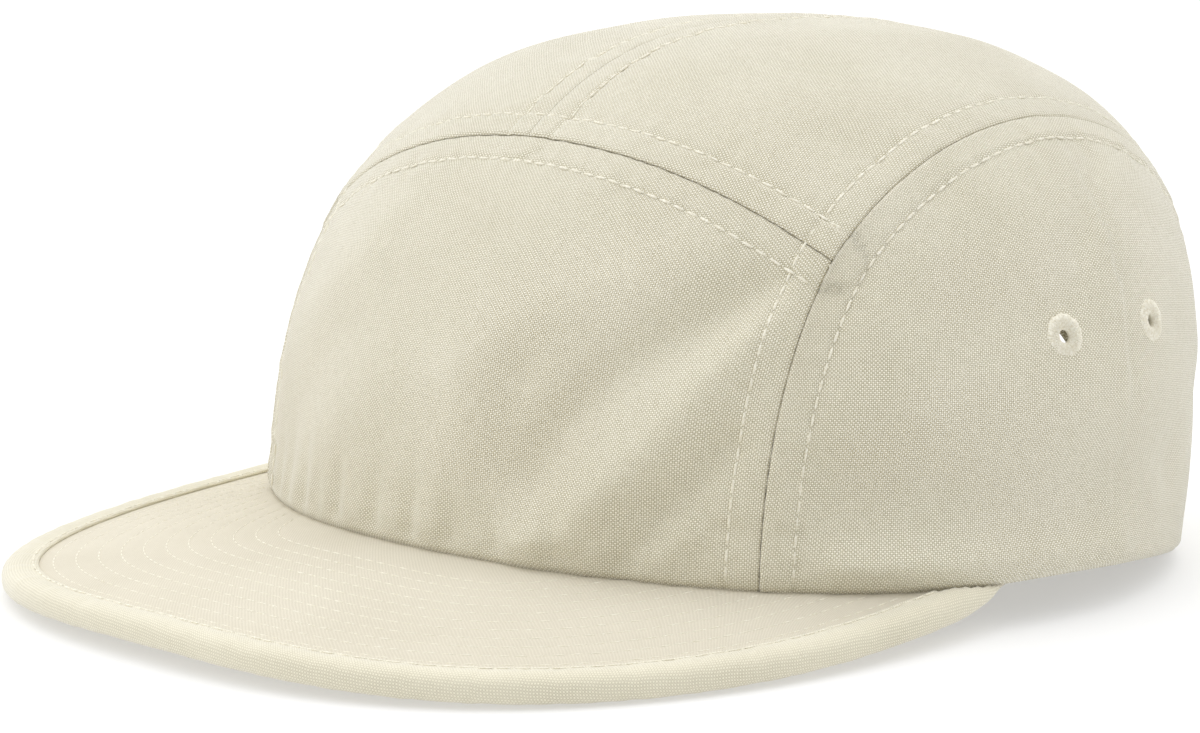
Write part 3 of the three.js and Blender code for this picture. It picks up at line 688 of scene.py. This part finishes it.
def woven(name, warp, weft, low, high, bump_depth, contrast=1.0, turned=0.0, sheen=0.6):
    """Plain weave: warp and weft are yarn pitches in metres, low and high the colours of its
    hollows and of its dots. The darker colour in the hollows is painted shade."""
    material, tree, shader = new_material(name)
    uv = tree.nodes.new("ShaderNodeUVMap")
    uv.uv_map = "pattern"
    mapping = tree.nodes.new("ShaderNodeMapping")
    mapping.inputs["Rotation"].default_value = (0, 0, turned)
    tree.links.new(uv.outputs[0], mapping.inputs["Vector"])
    lay = mapping.outputs[0]
    split = tree.nodes.new("ShaderNodeSeparateXYZ")
    tree.links.new(lay, split.inputs[0])
    shift = calc(tree, "MULTIPLY", noise(tree, lay, WANDER_CELLS, 1.0), WANDER_SHARE)

    def yarns(axis, pitch):
        turns = calc(tree, "MULTIPLY", split.outputs[axis], math.pi / pitch)
        return calc(tree, "SINE", calc(tree, "ADD", turns, shift))

    def slubs(pitch, stretch):
        return calc(tree, "MULTIPLY", noise(tree, lay, 1 / pitch, 1.0, stretch), SLUB)

    crossing = calc(tree, "MULTIPLY", yarns("X", warp), yarns("Y", weft))
    over = calc(tree, "POWER", calc(tree, "MAXIMUM", crossing, 0.0), 0.5)
    below = calc(tree, "MAXIMUM", calc(tree, "MULTIPLY", crossing, -1.0), 0.0)
    under = calc(tree, "MULTIPLY", calc(tree, "POWER", below, 0.6), UNDER_SHARE)
    uneven = calc(tree, "ADD", slubs(warp, (1, 0.12, 1)), slubs(weft, (0.12, 1, 1)))
    dots = calc(tree, "ADD", over, under)
    height = calc(tree, "ADD", dots, calc(tree, "SUBTRACT", uneven, SLUB))
    place = tree.nodes.new("ShaderNodeTexCoord").outputs["Object"]
    mottle = calc(tree, "SUBTRACT", noise(tree, place, MOTTLE_CELLS, 3.0), 0.5)
    detail = calc(tree, "MULTIPLY", calc(tree, "SUBTRACT", height, EVEN_HEIGHT), contrast)
    tone = calc(tree, "ADD", detail, EVEN_HEIGHT)
    tone = calc(tree, "ADD", tone, calc(tree, "MULTIPLY", mottle, MOTTLE_SHARE))
    middle = tuple(0.35 * a + 0.65 * b for a, b in zip(low, high))
    # The ramp paints the weave's hollows darker. This is painted shade between the yarns, on top
    # of the bump.
    colour = ramp(tree, tone, [(0.05, low), (0.3, middle), (0.62, high)])
    tree.links.new(colour, shader.inputs["Base Color"])
    tree.links.new(bump(tree, height, bump_depth), shader.inputs["Normal"])
    shader.inputs["Roughness"].default_value = 0.92
    shader.inputs["Specular IOR Level"].default_value = 0.2
    shader.inputs["Sheen Weight"].default_value = sheen
    shader.inputs["Sheen Roughness"].default_value = 0.4
    return material


shade, light = linear(180, 170, 136), linear(255, 251, 235)
brim_shade, brim_light = linear(169, 160, 136), linear(226, 220, 204)
tape_shade, tape_light = linear(170, 161, 133), linear(241, 236, 216)
WARP, WEFT = 0.41 * MM, 0.35 * MM
canvas = woven("crown_canvas", WARP, WEFT, shade, light, 0.14 * MM, contrast=1.2)
brim_canvas = woven(
    "brim_canvas", WARP, WEFT, brim_shade, brim_light, 0.03 * MM, contrast=0.4, sheen=0.1)
bias_canvas = woven(
    "bias_canvas", WARP, 0.36 * MM, tape_shade, tape_light, 0.04 * MM, contrast=0.6,
    turned=math.pi / 4)
band_cotton = woven(
    "band_cotton", 0.30 * MM, 0.26 * MM, shade, linear(246, 242, 228), 0.05 * MM,
    contrast=0.8, turned=0.5)
webbing = woven("strap_weave", 0.9 * MM, 0.5 * MM, shade, linear(246, 242, 226), 0.15 * MM)


def spun_thread():
    material, tree, shader = new_material("cap_thread")
    place = tree.nodes.new("ShaderNodeTexCoord").outputs["Object"]
    fibre = noise(tree, place, 2600, 2.0)
    colour = ramp(tree, fibre, [(0.3, linear(226, 219, 196)), (0.7, linear(252, 249, 236))])
    tree.links.new(colour, shader.inputs["Base Color"])
    tree.links.new(bump(tree, fibre, 0.05 * MM), shader.inputs["Normal"])
    shader.inputs["Roughness"].default_value = 0.6
    shader.inputs["Sheen Weight"].default_value = 0.2
    return material


thread = spun_thread()
print("materials:", [m.name for m in bpy.data.materials])

# %% [markdown]
# ## The front panel
# It runs from temple to temple and from the brim up to the seam that arcs over it. A wall is
# given to it afterwards by a Solidify modifier, which grows inwards, so the outer face stays
# where the seams were worked out.

# %% Front panel
CLOTH_WALL = 1.0 * MM
FRONT_LENGTH, TOP_LENGTH = 105 * MM, 232 * MM       # about, for spacing the grids' lines
SIDE_LENGTH, SIDE_RISE = 205 * MM, 92 * MM


def front_grid():
    half = SIDE_SEAM - HALF_GAP
    u, v = np.meshgrid(spread(2 * half), spread(FRONT_LENGTH))
    x = mix(-half, half, u)
    foot = rim_point(x, -1)
    start = np.arctan2(foot[..., 2], HUB_BACK - foot[..., 1])
    points = slice_point(x, mix(start, arc_angle(x) - HALF_GAP / CROWN_HEIGHT, v))
    points[0] = foot[0]
    return points


def sewn_panel(name, points, pattern=None):
    face, _ = cloth_on(points, name)
    cloth = moved_grid(face, flat_pattern(points) if pattern is None else pattern)
    face_away(cloth, CROWN_MIDDLE)
    return cloth


front_cloth = sewn_panel("front_panel", front_grid())
finish_piece("front_panel_cloth", front_cloth, canvas, ["front_panel"], CLOTH_WALL)

# %% [markdown]
# ## The two top panels
# They meet along the middle and end at the back in the edge of the opening, which is a quarter
# of an ellipse on each side, and then in a short piece of rim. One function makes both, turned
# over in X.

# %% Top panels
ARCH_SHARE = 0.62


def top_grid():
    shares_across = np.unique(np.append(spread(SIDE_SEAM), ARCH_SHARE))
    u, v = np.meshgrid(shares_across, spread(TOP_LENGTH))
    start = mix(HALF_GAP, SIDE_SEAM - HALF_GAP, u)
    turn = np.pi / 2 * np.minimum(1, u / ARCH_SHARE)
    on_arch = u < ARCH_SHARE
    rim_x = mix(ARCH_HALF_WIDTH, SIDE_SEAM_BACK - HALF_GAP, (u - ARCH_SHARE) / (1 - ARCH_SHARE))
    end_x = np.where(on_arch, np.maximum(HALF_GAP, ARCH_HALF_WIDTH * np.sin(turn)), rim_x)
    end_z = np.where(on_arch, ARCH_HEIGHT * np.cos(turn), 0)
    x = mix(start, end_x, v**SIDE_SEAM_TAPER) + u * SIDE_SEAM_SWELL * np.sin(np.pi * v)
    first = arc_angle(start) + HALF_GAP / CROWN_HEIGHT
    points = slice_point(x, mix(first, slice_angle(end_x, end_z, 1), v))
    points[-1] = xyz(end_x, side_of_crown(end_x, end_z, 1), end_z)[-1]
    return points


def slice_pattern(points):
    """The flat pattern by slices: lengths across from the middle, and back along each slice."""
    xs = np.linspace(0, 76 * MM, 77)
    turns = np.linspace(np.radians(40), np.pi, 141)
    lengths = flat_pattern(slice_point(*np.meshgrid(xs, turns)))
    lengths[..., 0] -= lengths[:, :1, 0]

    def cell(value, ends):
        """Where a value lies in a list: the place before it, and the share beyond that."""
        at = (value - ends[0]) / (ends[-1] - ends[0]) * (len(ends) - 1)
        at = np.clip(at, 0, len(ends) - 1.001)
        return at.astype(int), (at - at.astype(int))[..., None]

    i, down = cell(np.arctan2(points[..., 2], HUB_BACK - points[..., 1]), turns)
    j, across = cell(points[..., 0], xs)
    before = mix(lengths[i, j], lengths[i, j + 1], across)
    after = mix(lengths[i + 1, j], lengths[i + 1, j + 1], across)
    return mix(before, after, down)


top_points = top_grid()
top_pattern = slice_pattern(top_points)
for side_name, side in SIDES.items():
    name = f"top_panel_{side_name}"
    cloth = sewn_panel(name, top_points * (side, 1, 1), top_pattern * (side, 1))
    finish_piece(name + "_cloth", cloth, canvas, [name], CLOTH_WALL)

# %% [markdown]
# ## The two side panels
# A side panel has the rim below and seams on its three other sides. A Coons patch fills the
# space between four edges: it blends each pair of opposite edges and takes the corners away
# once. The result is then pushed onto the crown. The eyelets' holes are cut out of the grid.

# %% Side panels
SIDE_BACK_SHARE = 0.8   # how far back the panel's upper edge runs on its seam
EYELET_PLACES = {"front": -7.9 * MM, "rear": 18.4 * MM}
EYELET_HEIGHT = 51.2 * MM
EYELET_CUT = 2.3 * MM


def side_grid():
    foot = rim_point(np.array(SIDE_SEAM + HALF_GAP), -1)
    back_foot = rim_point(np.array(SIDE_SEAM_BACK + HALF_GAP), 1)
    angles = [math.atan2(p[0], HUB_BACK - p[1]) for p in (foot, back_foot)]
    us, vs = spread(SIDE_LENGTH), spread(SIDE_RISE)
    bottom = rim_around(mix(angles[0], angles[1], us))
    bottom[0], bottom[-1] = foot, back_foot
    top = side_seam_point(us * SIDE_BACK_SHARE, HALF_GAP)
    front = side_front_point(vs, HALF_GAP)
    back = side_seam_point(mix(1, SIDE_BACK_SHARE, vs), HALF_GAP)
    u, v = (a[..., None] for a in np.meshgrid(us, vs))
    patch = bottom[None] * (1 - v) + top[None] * v + front[:, None] * (1 - u) + back[:, None] * u
    patch -= (foot * (1 - u) + back_foot * u) * (1 - v) + (top[0] * (1 - u) + top[-1] * u) * v
    points = on_crown(patch)
    points[0], points[-1], points[:, 0], points[:, -1] = bottom, top, front, back
    return points


def eyelet_seat(place):
    """Middle of an eyelet on the left side, and the way it faces."""
    spot = along_ray(xyz(0, place, EYELET_HEIGHT), xyz(1, 0, 0))[None]
    face, normal = cloth_on(spot)
    return face[0], normal[0]


def cut_eyelets(cloth, side):
    for place in EYELET_PLACES.values():
        spot, _ = eyelet_seat(place)
        middle = Vector(spot * (side, 1, 1)) + OVAL_SHIFT
        inside = [
            f for f in cloth.faces if (f.calc_center_median() - middle).length < EYELET_CUT
        ]
        bmesh.ops.delete(cloth, geom=inside, context="FACES")


side_points = side_grid()
for side_name, side in SIDES.items():
    name = f"side_panel_{side_name}"
    cloth = sewn_panel(name, side_points * (side, 1, 1))
    cut_eyelets(cloth, side)
    finish_piece(name + "_cloth", cloth, canvas, [name], CLOTH_WALL)

# %% [markdown]
# ## Stitches
# A lockstitch shows as a row of short threads, each sinking into the cloth at both ends. One
# small ball of 24 faces is stretched to a grain for every stitch and laid along the line, so
# the thread catches the light like the real one. The same rows are laid inside the crown.

# %% Stitch rows
STITCH_PITCH, STITCH_LENGTH = 3.1 * MM, 2.75 * MM
THREAD_RADIUS = 0.3 * MM
STITCH_START, SEAM_THREAD_LIFT = 0.1 * MM, 0.14 * MM


def offset_on_crown(path, margin):
    """The path moved sideways over the crown by a margin, to the left of its run."""
    sideways = np.cross(crown_normal(path), unit(np.gradient(path, axis=0)))
    return on_crown(path + sideways * margin)


def lay_stitches(threads, path, normals, lift=0.0, radius=THREAD_RADIUS):
    """Adds one row of stitches along a path. Each point has the normal that its thread lies on."""
    run = run_of(path)

    def at(length, values):
        return Vector([np.interp(length, run, values[:, k]) for k in range(3)])

    row = bmesh.new()
    for k in range(int(run[-1] / STITCH_PITCH)):
        start = at(k * STITCH_PITCH + STITCH_START, path)
        end = at(k * STITCH_PITCH + STITCH_LENGTH, path)
        normal = at((k + 0.5) * STITCH_PITCH, normals).normalized()
        along = (end - start).normalized()
        across = normal.cross(along).normalized()
        half = along * (end - start).length / 2
        shape = Matrix((across * radius, along.cross(across) * -radius, half))
        middle = (start + end) / 2 + normal * lift + OVAL_SHIFT
        place = Matrix.Translation(middle) @ shape.transposed().to_4x4()
        bmesh.ops.create_uvsphere(row, u_segments=6, v_segments=4, radius=1, matrix=place)
    data = mesh_of("row", row)
    threads.from_mesh(data)
    bpy.data.meshes.remove(data)


def finish_threads(name, threads):
    return finish_piece(name, rounded(threads), thread, ())


def over_rim(path):
    """The part of a stitch line that lies on the cloth, clear of the rim."""
    return path[above_rim(path) > 1.5 * MM]


for name, path in seams.items():
    threads = bmesh.new()
    for margin in (-SEAM_MARGIN, SEAM_MARGIN):
        line = offset_on_crown(path[::6], margin)
        if name in ("front_arc", "centre"):
            line = line[abs(line[:, 0]) < SIDE_SEAM - 0.5 * MM]
        line = over_rim(line)
        face, normal = cloth_on(line)
        lay_stitches(threads, face, normal, SEAM_THREAD_LIFT)
        lay_stitches(threads, face - normal * (CLOTH_WALL + 0.05 * MM), normal)
    finish_threads(f"stitches_{name}", threads)

# %% [markdown]
# ## The brim
# The board is covered with the same canvas, pulled smooth, and quilted by rows of stitching that
# follow its edge, a bit over 4 mm apart. One sheet runs from the crown over the top, round the
# edge and back below, and its two ends are filled. The stitch rows press shallow lines into it.

# %% Brim
OFF_CROWN = 0.015       # the crown's field where the brim's rows of stitches begin
ROW_START, ROW_PITCH, ROW_COUNT = 9.7 * MM, 4.25 * MM, 11
EDGE_INSET, ROOT_DEPTH = 1.3 * MM, 1.4 * MM
# The brim's ends stop short of the spring line, thin out before that, and keep a share
END_CLEARANCE, END_TAPER, END_LEFT = 2.2 * MM, 18 * MM, 0.06
QUILT_DEPTH, QUILT_WIDTH = 0.1 * MM, 0.75 * MM
BRIM_THREAD, BRIM_THREAD_LIFT = 0.14 * MM, -0.02 * MM
EDGE_TURN_END = 0.004   # the sheets stop just before the outline's two ends
edge_turns = np.linspace(EDGE_TURN_END, np.pi - EDGE_TURN_END, 260)
edge_plan = brim_outline(np.linspace(0, np.pi, 3000))
edge_path = xyz(edge_plan[:, 0], edge_plan[:, 1], 0)
edge_tree = (tree_of(edge_path), edge_path)


def brim_root(turn):
    """Where the brim enters the crown, on the crown's inner face."""
    hub = xyz(0, SPRING_LINE, 0 * turn)
    ray = unit(np.concatenate([brim_outline(turn), 0 * turn[:, None]], axis=-1) - hub)
    spot = along_ray(hub, ray)
    for _ in range(SETTLE):
        hub[:, 2] = brim_top(spot[:, 0], spot[:, 1])
        spot = along_ray(hub, ray)
    return spot - unit(crown_normal(spot) * (1, 1, 0)) * ROOT_DEPTH


def quilting(x, y):
    gap, _ = gap_to(edge_tree, xyz(x, y, 0))
    line = (gap - ROW_START) / ROW_PITCH
    near = np.clip(np.round(line), 0, ROW_COUNT - 1)
    return -QUILT_DEPTH * bell(gap - ROW_START - near * ROW_PITCH, QUILT_WIDTH)


def brim_whole(y):
    """1 along the brim, falling to 0 where its two ends thin out under the crown."""
    ahead = (SPRING_LINE - END_CLEARANCE - y) / END_TAPER
    return np.sin(np.pi / 2 * np.clip(ahead, 0, 1))


def brim_sheet():
    root = brim_root(edge_turns)[:, :2]
    edge = brim_outline(edge_turns) + brim_inward(edge_turns) * EDGE_INSET
    shares = np.linspace(0, 1, 72)[:, None, None]
    plan = root[None] * (1 - shares) + edge[None] * shares
    x, y = plan[..., 0], plan[..., 1]
    press = quilting(x, y)
    thickness = BRIM_THICKNESS * mix(END_LEFT, 1, brim_whole(y))
    top = xyz(x, y, brim_top(x, y) + press)
    under = xyz(x, y, brim_top(x, y) - thickness - press)[::-1]
    return np.concatenate([top, under, top[:1]])


def closed_brim():
    cloth = moved_grid(brim_sheet())
    rim = [v for v in cloth.verts if v.is_boundary]
    bmesh.ops.remove_doubles(cloth, verts=rim, dist=1e-6)
    open_edges = [e for e in cloth.edges if e.is_boundary]
    bmesh.ops.holes_fill(cloth, edges=open_edges, sides=0)
    bmesh.ops.recalc_face_normals(cloth, faces=cloth.faces[:])
    still_open = sum(e.is_boundary for e in cloth.edges)
    print("brim ends had", len(open_edges), "open edges, now", still_open)
    return cloth


finish_piece("brim_cover", closed_brim(), brim_canvas, ["brim"])

threads = bmesh.new()
for row in range(ROW_COUNT):
    inset = ROW_START + row * ROW_PITCH
    line = brim_outline(edge_turns) + brim_inward(edge_turns) * inset
    x, y = line[:, 0], line[:, 1]
    gap, _ = gap_to(edge_tree, xyz(x, y, 0))
    outside = crown_field(xyz(x, y, brim_top(x, y))) > OFF_CROWN
    keep = outside & (gap > inset - 0.15 * MM)
    line = even(xyz(x, y, brim_top(x, y) - 0.08 * MM)[keep], 1 * MM)
    if len(line) < 6:
        continue
    upwards = np.tile([0, 0, 1.0], (len(line), 1))
    lay_stitches(threads, line, upwards, BRIM_THREAD_LIFT, BRIM_THREAD)
    whole = brim_whole(line[:, 1]) > 0.99
    low = (line - (0, 0, BRIM_THICKNESS - 0.16 * MM))[whole]
    lay_stitches(threads, low, -upwards[whole], BRIM_THREAD_LIFT, BRIM_THREAD)
finish_threads("stitches_brim", threads)

# %% [markdown]
# ## The binding
# A strip of canvas, cut on the bias so that it bends round the curve, is folded over the brim's
# edge and sewn down through all layers. Its section is drawn once, as how far in from the edge
# and how high each point lies, and carried round the brim. Beside the crown it thins out and
# tucks in under the rim, like the brim.

# %% Binding
BINDING_WIDTH, BINDING_WALL = 7.0 * MM, 0.7 * MM
BINDING_THREAD, BINDING_SEAM = 0.2 * MM, (0.85, 2.05)       # the seam's place on the section
upper_half = [
    (1.0, 1.3), (1.0, 1.65), (0.98, 1.9), (0.93, 2.05), (0.85, 2.0), (0.78, 2.08), (0.66, 2.35),
    (0.5, 2.52), (0.34, 2.52), (0.2, 2.3), (0.09, 1.85), (0.025, 1.2), (0.0, 0.45),
]
binding_section = np.array(upper_half + [(inward, -up) for inward, up in upper_half[::-1]])


def binding_at(turn, inward_share, height):
    reach = BINDING_WIDTH * inward_share
    flat = brim_outline(turn) + brim_inward(turn) * reach[..., None]
    x, y = flat[..., 0], flat[..., 1]
    middle = brim_top(x, y) - BRIM_THICKNESS / 2
    whole = brim_whole(y)
    height = height * mix(END_LEFT, 1, whole) + mix(1.2 * MM, 0, whole)
    under_crown = crown_field(xyz(x, y, middle)) < 0.012
    flat_height = np.minimum(height, BRIM_THICKNESS / 2 - 0.05 * MM)
    height = np.where(under_crown, flat_height, height)
    tuck = np.sign(x) * END_CLEARANCE * (1 - smooth(SPRING_LINE - y, 0, 10 * MM))
    return xyz(x - tuck, y, middle + height)


def binding_sheet():
    turns = np.linspace(EDGE_TURN_END, np.pi - EDGE_TURN_END, 360)
    turn, inward = np.meshgrid(turns, binding_section[:, 0])
    _, height = np.meshgrid(turns, binding_section[:, 1])
    edge_run = turn * 105 * MM      # about the length along the edge
    uneven = 1 + 0.03 * ripple(edge_run, 2.0)
    return binding_at(turn, inward, height * MM * uneven)


binding = moved_grid(binding_sheet())
face_away(binding, Vector((0, -60 * MM, 6 * MM)))
finish_piece("binding_tape", binding, bias_canvas, ["brim_binding"], BINDING_WALL)

threads = bmesh.new()
turns = np.linspace(0.03, np.pi - 0.03, 400)
for up in (1.0, -1.0):
    height = up * BINDING_SEAM[1] * MM + 0 * turns
    line = even(binding_at(turns, BINDING_SEAM[0] + 0 * turns, height), 1 * MM)
    line = line[crown_field(line) > 0.03]
    lay_stitches(threads, line, np.tile([0, 0, up], (len(line), 1)), 0.0, BINDING_THREAD)
finish_threads("stitches_binding", threads)

# %% [markdown]
# ## Eyelets
# Each air hole is worked over with thread, close as a buttonhole, into a raised ring. A flattened
# round section is spun round the hole. Its height then rises and falls from line to line, so
# the ring looks made of threads that run from the hole outwards.

# %% Eyelets
EYELET_THREADS, LINES_A_THREAD = 46, 4
RING_RADIUS, RING_HALF_WIDTH, RING_HALF_HEIGHT = 2.65 * MM, 1.5 * MM, 1.1 * MM
RING_OUTER_PART = 3.4 * MM


def eyelet_ring():
    """An eyelet at the origin that faces up Z."""
    ring = bmesh.new()
    bmesh.ops.create_circle(ring, segments=14, radius=1)
    for vert in ring.verts:
        across, up = vert.co.x, vert.co.y
        vert.co = (RING_RADIUS + RING_HALF_WIDTH * across, 0, RING_HALF_HEIGHT * up)
    section = ring.verts[:] + ring.edges[:]
    bmesh.ops.spin(ring, geom=section, cent=(0, 0, 0), axis=(0, 0, 1), angle=2 * math.pi,
                   steps=EYELET_THREADS * LINES_A_THREAD, use_merge=True, use_duplicate=False)
    bmesh.ops.remove_doubles(ring, verts=ring.verts[:], dist=1e-7)
    for vert in ring.verts:
        turn = math.atan2(vert.co.y, vert.co.x)
        strand = 0.5 + 0.5 * math.cos(turn * EYELET_THREADS)
        uneven = 0.5 * math.sin(turn * 7 + 1) + 0.5 * math.sin(turn * 13)
        reach = 1 + 0.035 * uneven * (vert.co.xy.length > RING_OUTER_PART)
        vert.co.x *= reach
        vert.co.y *= reach
        vert.co.z *= 0.78 + 0.22 * strand + 0.04 * uneven
    return rounded(ring)


for side_name, side in SIDES.items():
    for place_name, place in EYELET_PLACES.items():
        spot, normal = eyelet_seat(place)
        spot = Vector((spot - normal * CLOTH_WALL / 2) * (side, 1, 1)) + OVAL_SHIFT
        turn = Vector((0, 0, 1)).rotation_difference(Vector(normal * (side, 1, 1)))
        seat = Matrix.Translation(spot) @ turn.to_matrix().to_4x4()
        ring = eyelet_ring()
        bmesh.ops.transform(ring, matrix=seat, verts=ring.verts[:])
        node = f"eyelet_{side_name}_{place_name}"
        finish_piece(node + "_ring", ring, thread, [node])

# %% [markdown]
# ## The sweatband
# A cotton band is sewn inside the rim, from one side of the back opening round to the other. It
# is a strip at a set depth inside the crown. Neither it nor the strap can be seen in the
# photograph, so both follow the usual way that such a cap is made.

# %% Sweatband
STRAP_LIFT, STRAP_HEIGHT, STRAP_WALL = 3.5 * MM, 20 * MM, 1.6 * MM
BAND_LIFT, BAND_HEIGHT, BAND_WALL = 0.8 * MM, 28 * MM, 1.2 * MM
STRAP_END = ARCH_HALF_WIDTH + 11 * MM
BAND_DEPTH = 2.65 * MM  # from the crown's surface to the band
STRAP_GAP = 0.6 * MM    # between the ends of band and strap


def inside_rim(angle, up, depth):
    rim = rim_around(angle)
    hub = xyz(0 * angle, HUB_BACK, np.maximum(0, rim[..., 2] + up))
    spot = along_ray(hub, xyz(np.sin(angle), -np.cos(angle), 0 * angle))
    spot = spot - unit(crown_normal(spot) * (1, 1, 0)) * (BAND_DEPTH + depth)
    spot[..., 2] = rim[..., 2] + up
    return spot


def strip(end_angles, low, high, columns, rows):
    angle, up = np.meshgrid(np.linspace(*end_angles, columns), np.linspace(low, high, rows))
    return inside_rim(angle, up, 0.0)


band_end = rim_point(np.array(STRAP_END + STRAP_GAP), 1)
band_angle = math.atan2(band_end[0], HUB_BACK - band_end[1])
band = moved_grid(strip((-band_angle, band_angle), BAND_LIFT, BAND_HEIGHT, 300, 24))
face_away(band, CROWN_MIDDLE)
finish_piece("sweatband_cloth", band, band_cotton, ["sweatband"], BAND_WALL)

threads = bmesh.new()
around = np.linspace(-band_angle + 0.02, band_angle - 0.02, 600)
for up in (BAND_LIFT + 2.5 * MM, BAND_HEIGHT - 2.5 * MM):
    line = inside_rim(around, up + 0 * around, BAND_WALL)
    normal = -crown_normal(line) * (1, 1, 0)
    lay_stitches(threads, line, normal, 0.1 * MM)
finish_threads("stitches_sweatband", threads)

# %% [markdown]
# ## The strap
# A short strap of webbing closes the opening. It runs round the back at the same depth as the
# band, so the two strips follow each other.

# %% Strap
strap_end = rim_point(np.array(STRAP_END), 1)
strap_angle = math.atan2(strap_end[0], HUB_BACK - strap_end[1])
strap_ends = (strap_angle, 2 * math.pi - strap_angle)
strap = moved_grid(strip(strap_ends, STRAP_LIFT, STRAP_LIFT + STRAP_HEIGHT, 90, 26))
face_away(strap, CROWN_MIDDLE)
finish_piece("strap_webbing", strap, webbing, ["back_strap"], STRAP_WALL)

# %% [markdown]
# ## The slider
# A plain slider holds the strap's length. It starts as a box whose two ends are inset, opened
# and bridged to a sleeve, and then every edge is bevelled.

# %% Slider
def moulded_plastic():
    material, tree, shader = new_material("buckle_plastic")
    place = tree.nodes.new("ShaderNodeTexCoord").outputs["Object"]
    grain = noise(tree, place, 3200, 2.0)
    colour = ramp(tree, grain, [(0.2, linear(205, 198, 176)), (0.8, linear(219, 212, 191))])
    tree.links.new(colour, shader.inputs["Base Color"])
    tree.links.new(bump(tree, grain, 0.03 * MM), shader.inputs["Normal"])
    shader.inputs["Roughness"].default_value = 0.42
    return material


def slider():
    length, wall, clearance, rounding = 13 * MM, 2.2 * MM, 0.6 * MM, 0.7 * MM
    low, high = (
        inside_rim(np.array([math.pi]), np.array([up]), STRAP_WALL / 2)[0]
        for up in (STRAP_LIFT, STRAP_LIFT + STRAP_HEIGHT)
    )
    lean = math.atan2(high[1] - low[1], high[2] - low[2])
    around = 2 * (clearance + wall)
    size = (length, STRAP_WALL + around, STRAP_HEIGHT + around)
    sleeve = bmesh.new()
    bmesh.ops.create_cube(sleeve, size=1, matrix=Matrix.Diagonal((*size, 1)))
    ends = [f for f in sleeve.faces if abs(f.normal.x) > 0.9]
    bmesh.ops.inset_individual(sleeve, faces=ends, thickness=wall)
    loops = [e for f in ends for e in f.edges]
    bmesh.ops.delete(sleeve, geom=ends, context="FACES_ONLY")
    bmesh.ops.bridge_loops(sleeve, edges=loops)
    bmesh.ops.recalc_face_normals(sleeve, faces=sleeve.faces[:])
    bmesh.ops.bevel(sleeve, geom=sleeve.edges[:], offset=rounding, segments=4, profile=0.5,
                    affect="EDGES", material=-1)
    middle = Vector((low + high) / 2) + OVAL_SHIFT
    place = Matrix.Translation(middle) @ Matrix.Rotation(-lean, 4, "X")
    bmesh.ops.transform(sleeve, matrix=place, verts=sleeve.verts[:])
    for face in sleeve.faces:
        face.smooth = True
    return sleeve


finish_piece("buckle_slider", slider(), moulded_plastic(), ["strap_buckle"])

# %% [markdown]
# ## Studio
# The photograph has a white surround and soft light from above and all round, with the least of
# it on the side that lies between the camera and the wearer's left. A pale sky that is dimmer
# there gives the shades, one wide weak lamp gives the fall of the shadow, and the floor is a lit
# pale table, so it glows a little by itself.

# %% Floor, lamp and world
FLOOR_HALF, FLOOR_GREY, FLOOR_GLOW = 8, 0.55, 0.41
DIM_SIDE = math.radians(56)    # compass angle from the brim's front towards +X
LEAST_SKY = 0.05


def floor():
    stage = bmesh.new()
    bmesh.ops.create_grid(stage, x_segments=1, y_segments=1, size=FLOOR_HALF)
    data = mesh_of("floor", stage)
    material, _, shader = new_material("floor_paint")
    shader.inputs["Base Color"].default_value = (FLOOR_GREY, FLOOR_GREY, FLOOR_GREY, 1)
    shader.inputs["Emission Color"].default_value = (1, 1, 1, 1)
    shader.inputs["Emission Strength"].default_value = FLOOR_GLOW
    shader.inputs["Roughness"].default_value = 0.9
    shader.inputs["Specular IOR Level"].default_value = 0.1
    data.materials.append(material)
    placed("floor", data)


def lamp(name, place, size, power):
    data = bpy.data.lights.new(name, "AREA")
    data.shape, data.size, data.energy = "DISK", size, power
    piece = placed(name, data)
    piece.location = place
    aim = Vector((0, 0, 0.05)) - Vector(place)
    piece.rotation_euler = aim.to_track_quat("-Z", "Y").to_euler()


def studio_world(top, sides, dim):
    """A pale sky, brightest overhead and dimmer towards one side."""
    world = bpy.data.worlds.new("studio")
    world.use_nodes = True
    tree = world.node_tree
    split = tree.nodes.new("ShaderNodeSeparateXYZ")
    tree.links.new(tree.nodes.new("ShaderNodeTexCoord").outputs["Generated"], split.inputs[0])
    x, y, z = split.outputs
    toward_x = calc(tree, "MULTIPLY", x, math.sin(DIM_SIDE))
    toward_y = calc(tree, "MULTIPLY", y, -math.cos(DIM_SIDE))
    toward = calc(tree, "ADD", toward_x, toward_y)
    high = calc(tree, "MULTIPLY", calc(tree, "MAXIMUM", z, 0.0), top - sides)
    facing = calc(tree, "MAXIMUM", toward, 0.0)
    low = calc(tree, "MULTIPLY", calc(tree, "MULTIPLY", facing, facing), dim)
    light = calc(tree, "ADD", calc(tree, "SUBTRACT", high, low), sides)
    sky = tree.nodes["Background"]
    sky.inputs["Color"].default_value = (1, 1, 1, 1)
    tree.links.new(calc(tree, "MAXIMUM", light, LEAST_SKY), sky.inputs["Strength"])
    bpy.context.scene.world = world


floor()
lamp("top_lamp", place=(-0.5, 0.1, 1.8), size=1.6, power=5)
studio_world(top=1.47, sides=1.37, dim=1.41)
bpy.context.scene.view_settings.view_transform = "Standard"
